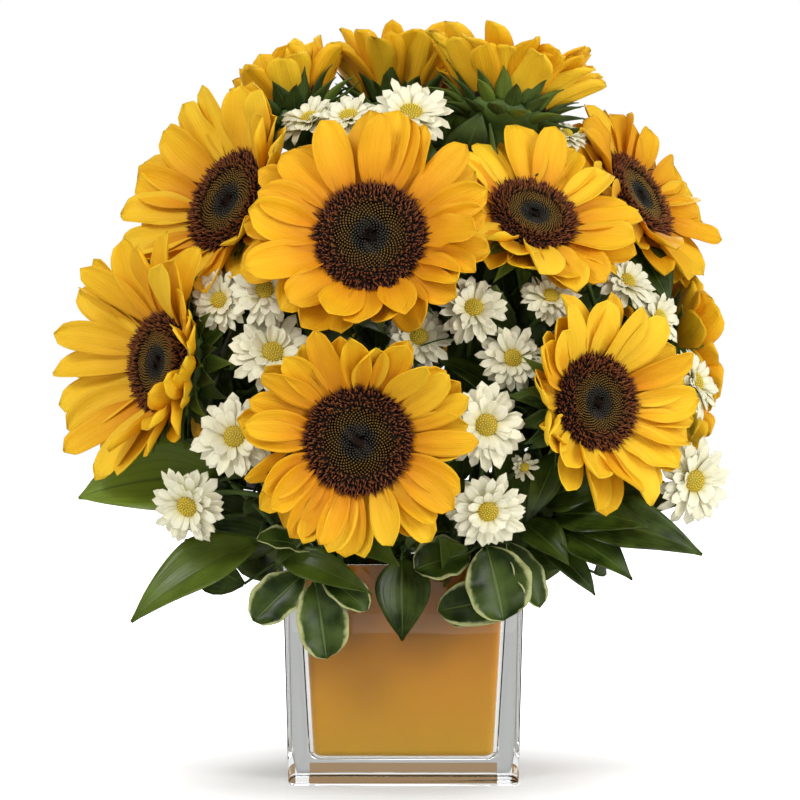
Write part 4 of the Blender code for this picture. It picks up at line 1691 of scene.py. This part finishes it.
@dataclass
class Studio:
    """A pale floor, soft lights and the camera."""

    floor_size: float = 12.0
    floor_colour: Colour = (0.86, 0.86, 0.85)
    camera_place: Triple = (-0.0018, -1.75, 0.215)
    camera_pitch: float = math.radians(-0.43)
    focal_length: float = 145.1
    glow: float = 0.70
    mirrored_glow: float = 0.15
    refracted_glow: float = 0.92
    floor_gap: float = 0.4 * MM
    floor_near: float = 0.075
    floor_far: float = 0.30
    through_near: float = 0.16
    through_far: float = 0.34
    through_share: float = 0.46
    flag_distance: float = 0.9
    strip_distance: float = 66 * MM
    strip_level: float = 4.4 * MM
    strip_size: Pair = (98 * MM, 5 * MM)
    # Painted amber glow: the colour the strips shine through the glass foot.
    strip_glow: Colour = (0.36, 0.23, 0.12)

    def build(self) -> None:
        """Sets up the whole studio."""
        self.build_floor()
        self.build_surround()
        self.build_lights()
        self.build_flags()
        self.build_camera()
        scene = bpy.context.scene
        scene.view_settings.view_transform = "Standard"

    def build_floor(self) -> None:
        """Lays one wide pale plane, which shines white further out and shows dimmer through glass."""
        bm = bmesh.new()
        bmesh.ops.create_grid(bm, x_segments=1, y_segments=1, size=self.floor_size / 2)
        mesh = bpy.data.meshes.new("studio_floor")
        bm.to_mesh(mesh)
        bm.free()
        sketch = Sketch("floor_paper", Roughness=0.9, Specular_IOR_Level=0.1)
        sketch.shader.inputs["Emission Color"].default_value = (1.0, 1.0, 1.0, 1.0)
        away = sketch.node("VectorMath", {0: sketch.place()}, operation="LENGTH").outputs["Value"]
        path = sketch.node("LightPath", {})
        far = sketch.span(away, self.through_near, self.through_far)
        distant = sketch.maths("MULTIPLY", far, path.outputs["Is Transmission Ray"])
        dim = tuple(channel * self.through_share for channel in self.floor_colour)
        colour = sketch.blend(distant, self.floor_colour, dim)
        sketch.tree.links.new(colour, sketch.shader.inputs["Base Color"])
        near = sketch.span(away, self.floor_near, self.floor_far)
        shine = sketch.maths("MULTIPLY", near, path.outputs["Is Camera Ray"])
        sketch.tree.links.new(shine, sketch.shader.inputs["Emission Strength"])
        mesh.materials.append(sketch.material)
        floor = bpy.data.objects.new("studio_floor", mesh)
        floor.location.z = -self.floor_gap
        bpy.context.scene.collection.objects.link(floor)

    def build_surround(self) -> None:
        """A white surround that lights the flowers softly and shows less brightly in glossy surfaces."""
        world = bpy.data.worlds.new("surround")
        world.use_nodes = True
        tree = world.node_tree
        path = tree.nodes.new("ShaderNodeLightPath")
        mirrored = tree.nodes.new("ShaderNodeMix")
        mirrored.inputs["A"].default_value = self.glow
        mirrored.inputs["B"].default_value = self.mirrored_glow
        tree.links.new(path.outputs["Is Glossy Ray"], mirrored.inputs["Factor"])
        refracted = tree.nodes.new("ShaderNodeMix")
        refracted.inputs["B"].default_value = self.refracted_glow
        tree.links.new(mirrored.outputs["Result"], refracted.inputs["A"])
        tree.links.new(path.outputs["Is Transmission Ray"], refracted.inputs["Factor"])
        seen = tree.nodes.new("ShaderNodeMix")
        seen.inputs["B"].default_value = 1.0
        tree.links.new(refracted.outputs["Result"], seen.inputs["A"])
        tree.links.new(path.outputs["Is Camera Ray"], seen.inputs["Factor"])
        surround = tree.nodes["Background"]
        surround.inputs["Color"].default_value = (1.0, 1.0, 1.0, 1.0)
        tree.links.new(seen.outputs["Result"], surround.inputs["Strength"])
        bpy.context.scene.world = world

    def build_lights(self) -> None:
        """Three softboxes."""
        for name, place, size, power in (
            ("key_softbox", (-0.85, -1.35, 1.35), 0.6, 13.5),
            ("fill_softbox", (1.2, -1.1, 0.7), 0.8, 12.0),
            ("back_softbox", (0.3, 1.4, 1.3), 0.8, 12.0),
        ):
            data = bpy.data.lights.new(name, "AREA")
            data.size = size
            data.energy = power
            light = bpy.data.objects.new(name, data)
            light.location = place
            aim = Vector((0, 0, 0.22)) - Vector(place)
            light.rotation_euler = aim.to_track_quat("-Z", "Y").to_euler()
            bpy.context.scene.collection.objects.link(light)

    def build_flags(self) -> None:
        """Painted reflections and glow: grey cards beside, a dark one below, and an amber strip behind each
        side of the glass foot.

        The strips show only through the glass, where they paint the amber glow of the coat's light on the
        paper; the grey cards paint grey reflections into the glass and other glossy surfaces, and the dark
        card shows only in glossy surfaces, where it paints a dark floor.
        """
        # Painted reflections: the grey cards shine grey into the glass and glossy surfaces, and the black one
        # paints a dark floor in glossy surfaces.
        grey, black = (0.30, 0.27, 0.24), (0.03, 0.03, 0.03)
        aside = Matrix.Rotation(math.pi / 2, 4, "Z") @ Matrix.Rotation(math.pi / 2, 4, "X")
        for name, x in (("painted_reflection_left", -self.flag_distance), ("painted_reflection_right", self.flag_distance)):
            self.add_card(name, Matrix.Translation((x, 0, 0.25)) @ aside, (0.35, 0.9), grey, True, True)
        below = Matrix.Translation((0, 0, -self.floor_gap / 2))
        self.add_card("painted_reflection_below", below, (3.0, 3.0), black, True, False)
        stand = Matrix.Translation((0, self.strip_distance, self.strip_level))
        upright = stand @ Matrix.Rotation(math.pi / 2, 4, "X")
        # Painted amber glow: strips that shine amber through the glass foot, for the coat's light on the
        # paper.
        for order in range(4):
            where = Matrix.Rotation(order * math.pi / 2, 4, "Z") @ upright
            self.add_card(f"amber_strip_{order + 1}", where, self.strip_size, self.strip_glow, False, True)

    def add_card(
        self, name: str, where: Matrix, size: Pair, shine: Colour, mirrored: bool, refracted: bool
    ) -> None:
        """Adds one shining card that neither the camera nor the light sees, which paints reflections and glow
        into glossy surfaces and glass.

        Args:
            name: The card's name.
            where: Its middle and its turn.
            size: Its two sides.
            shine: The colour it shows.
            mirrored: Whether it shows in glossy surfaces.
            refracted: Whether it shows through glass.
        """
        sketch = Sketch(name + "_card", Roughness=1.0, Specular_IOR_Level=0.0, Emission_Strength=1.0)
        sketch.shader.inputs["Base Color"].default_value = (0.0, 0.0, 0.0, 1.0)
        sketch.shader.inputs["Emission Color"].default_value = (*shine, 1.0)
        bm = bmesh.new()
        bmesh.ops.create_grid(bm, x_segments=1, y_segments=1, size=0.5)
        bm.transform(where @ Matrix.Diagonal((size[0], size[1], 1.0, 1.0)))
        mesh = bpy.data.meshes.new(name)
        bm.to_mesh(mesh)
        bm.free()
        mesh.materials.append(sketch.material)
        card = bpy.data.objects.new(name, mesh)
        card.visible_camera = False
        card.visible_diffuse = False
        card.visible_shadow = False
        card.visible_glossy = mirrored
        card.visible_transmission = refracted
        bpy.context.scene.collection.objects.link(card)

    def build_camera(self) -> None:
        """The camera, almost level with the lower flowers."""
        data = bpy.data.cameras.new("camera")
        data.lens = self.focal_length
        data.sensor_width = 36.0
        camera = bpy.data.objects.new("camera", data)
        camera.location = self.camera_place
        camera.rotation_euler = (math.pi / 2 + self.camera_pitch, 0, 0)
        bpy.context.scene.collection.objects.link(camera)
        bpy.context.scene.camera = camera


# ----------------------------------------------------------------------------------------------------
# The whole arrangement


def make_finishes() -> dict:
    """Makes every material of the arrangement.

    Returns:
        The materials, by name.
    """
    cream, cream_under = (0.46, 0.48, 0.20), (0.46, 0.48, 0.26)
    ruscus = LeafFinish(
        "ruscus_leaf", (0.009, 0.018, 0.002), (0.058, 0.096, 0.007), (0.08, 0.12, 0.018), 9.0, 0.22, 0.27
    )
    ruscus_under = LeafFinish(
        "ruscus_underside", (0.045, 0.070, 0.014), (0.110, 0.160, 0.032), (0.14, 0.19, 0.05), 9.0, 0.3, 0.5
    )
    pittosporum = LeafFinish(
        "pittosporum_leaf", (0.012, 0.027, 0.003), (0.068, 0.110, 0.012), (0.12, 0.17, 0.035), 3.0, 0.1, 0.32,
        margin=cream, margin_start=0.41, margin_end=0.465,
    )
    pittosporum_under = LeafFinish(
        "pittosporum_underside", (0.06, 0.09, 0.025), (0.12, 0.16, 0.05), (0.20, 0.25, 0.10), 3.0, 0.2, 0.5,
        margin=cream_under, margin_start=0.43, margin_end=0.475,
    )
    bract = LeafFinish(
        "bract", (0.022, 0.046, 0.007), (0.075, 0.120, 0.018), (0.10, 0.15, 0.03), 5.0, 0.25, 0.5
    )
    return {
        "petal": PetalFinish().build(),
        "floret": FloretFinish().build(),
        "ray": RayFinish().build(),
        "eye": EyeFinish().build(),
        "stem": StemFinish().build(),
        "bract": bract.build(),
        "ruscus": ruscus.build(),
        "ruscus_under": ruscus_under.build(),
        "pittosporum": pittosporum.build(),
        "pittosporum_under": pittosporum_under.build(),
        "glass": GlassFinish().build(),
        "coat": CoatFinish().build(),
        "foam": FoamFinish().build(),
    }


def dress_foam(material: Material) -> None:
    """Gives the frame's foam block its finish.

    Args:
        material: The foam's material.
    """
    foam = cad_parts["foam_block"]
    for slot in foam.material_slots:
        slot.material = material


def main() -> None:
    """Builds the arrangement and the studio."""
    logging.basicConfig(level=logging.INFO, format="%(name)s: %(message)s")
    finishes = make_finishes()
    Vase().build(finishes["glass"], finishes["coat"])
    dress_foam(finishes["foam"])
    count = sum(name.startswith("sunflower_") and name.endswith("_disc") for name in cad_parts)
    paths = []
    for number in range(1, count + 1):
        flower = Sunflower(HeadMeasure(number), HABITS.get(number, Habit()))
        flower.build(finishes)
        paths.append(flower.stem_path())
    for spray in SPRAYS:
        spray.build(finishes)
    for sprig in SPRIGS:
        sprig.build(finishes)
    Undergrowth().build(finishes, paths)
    Studio().build()


if __name__ == "__main__":
    main()
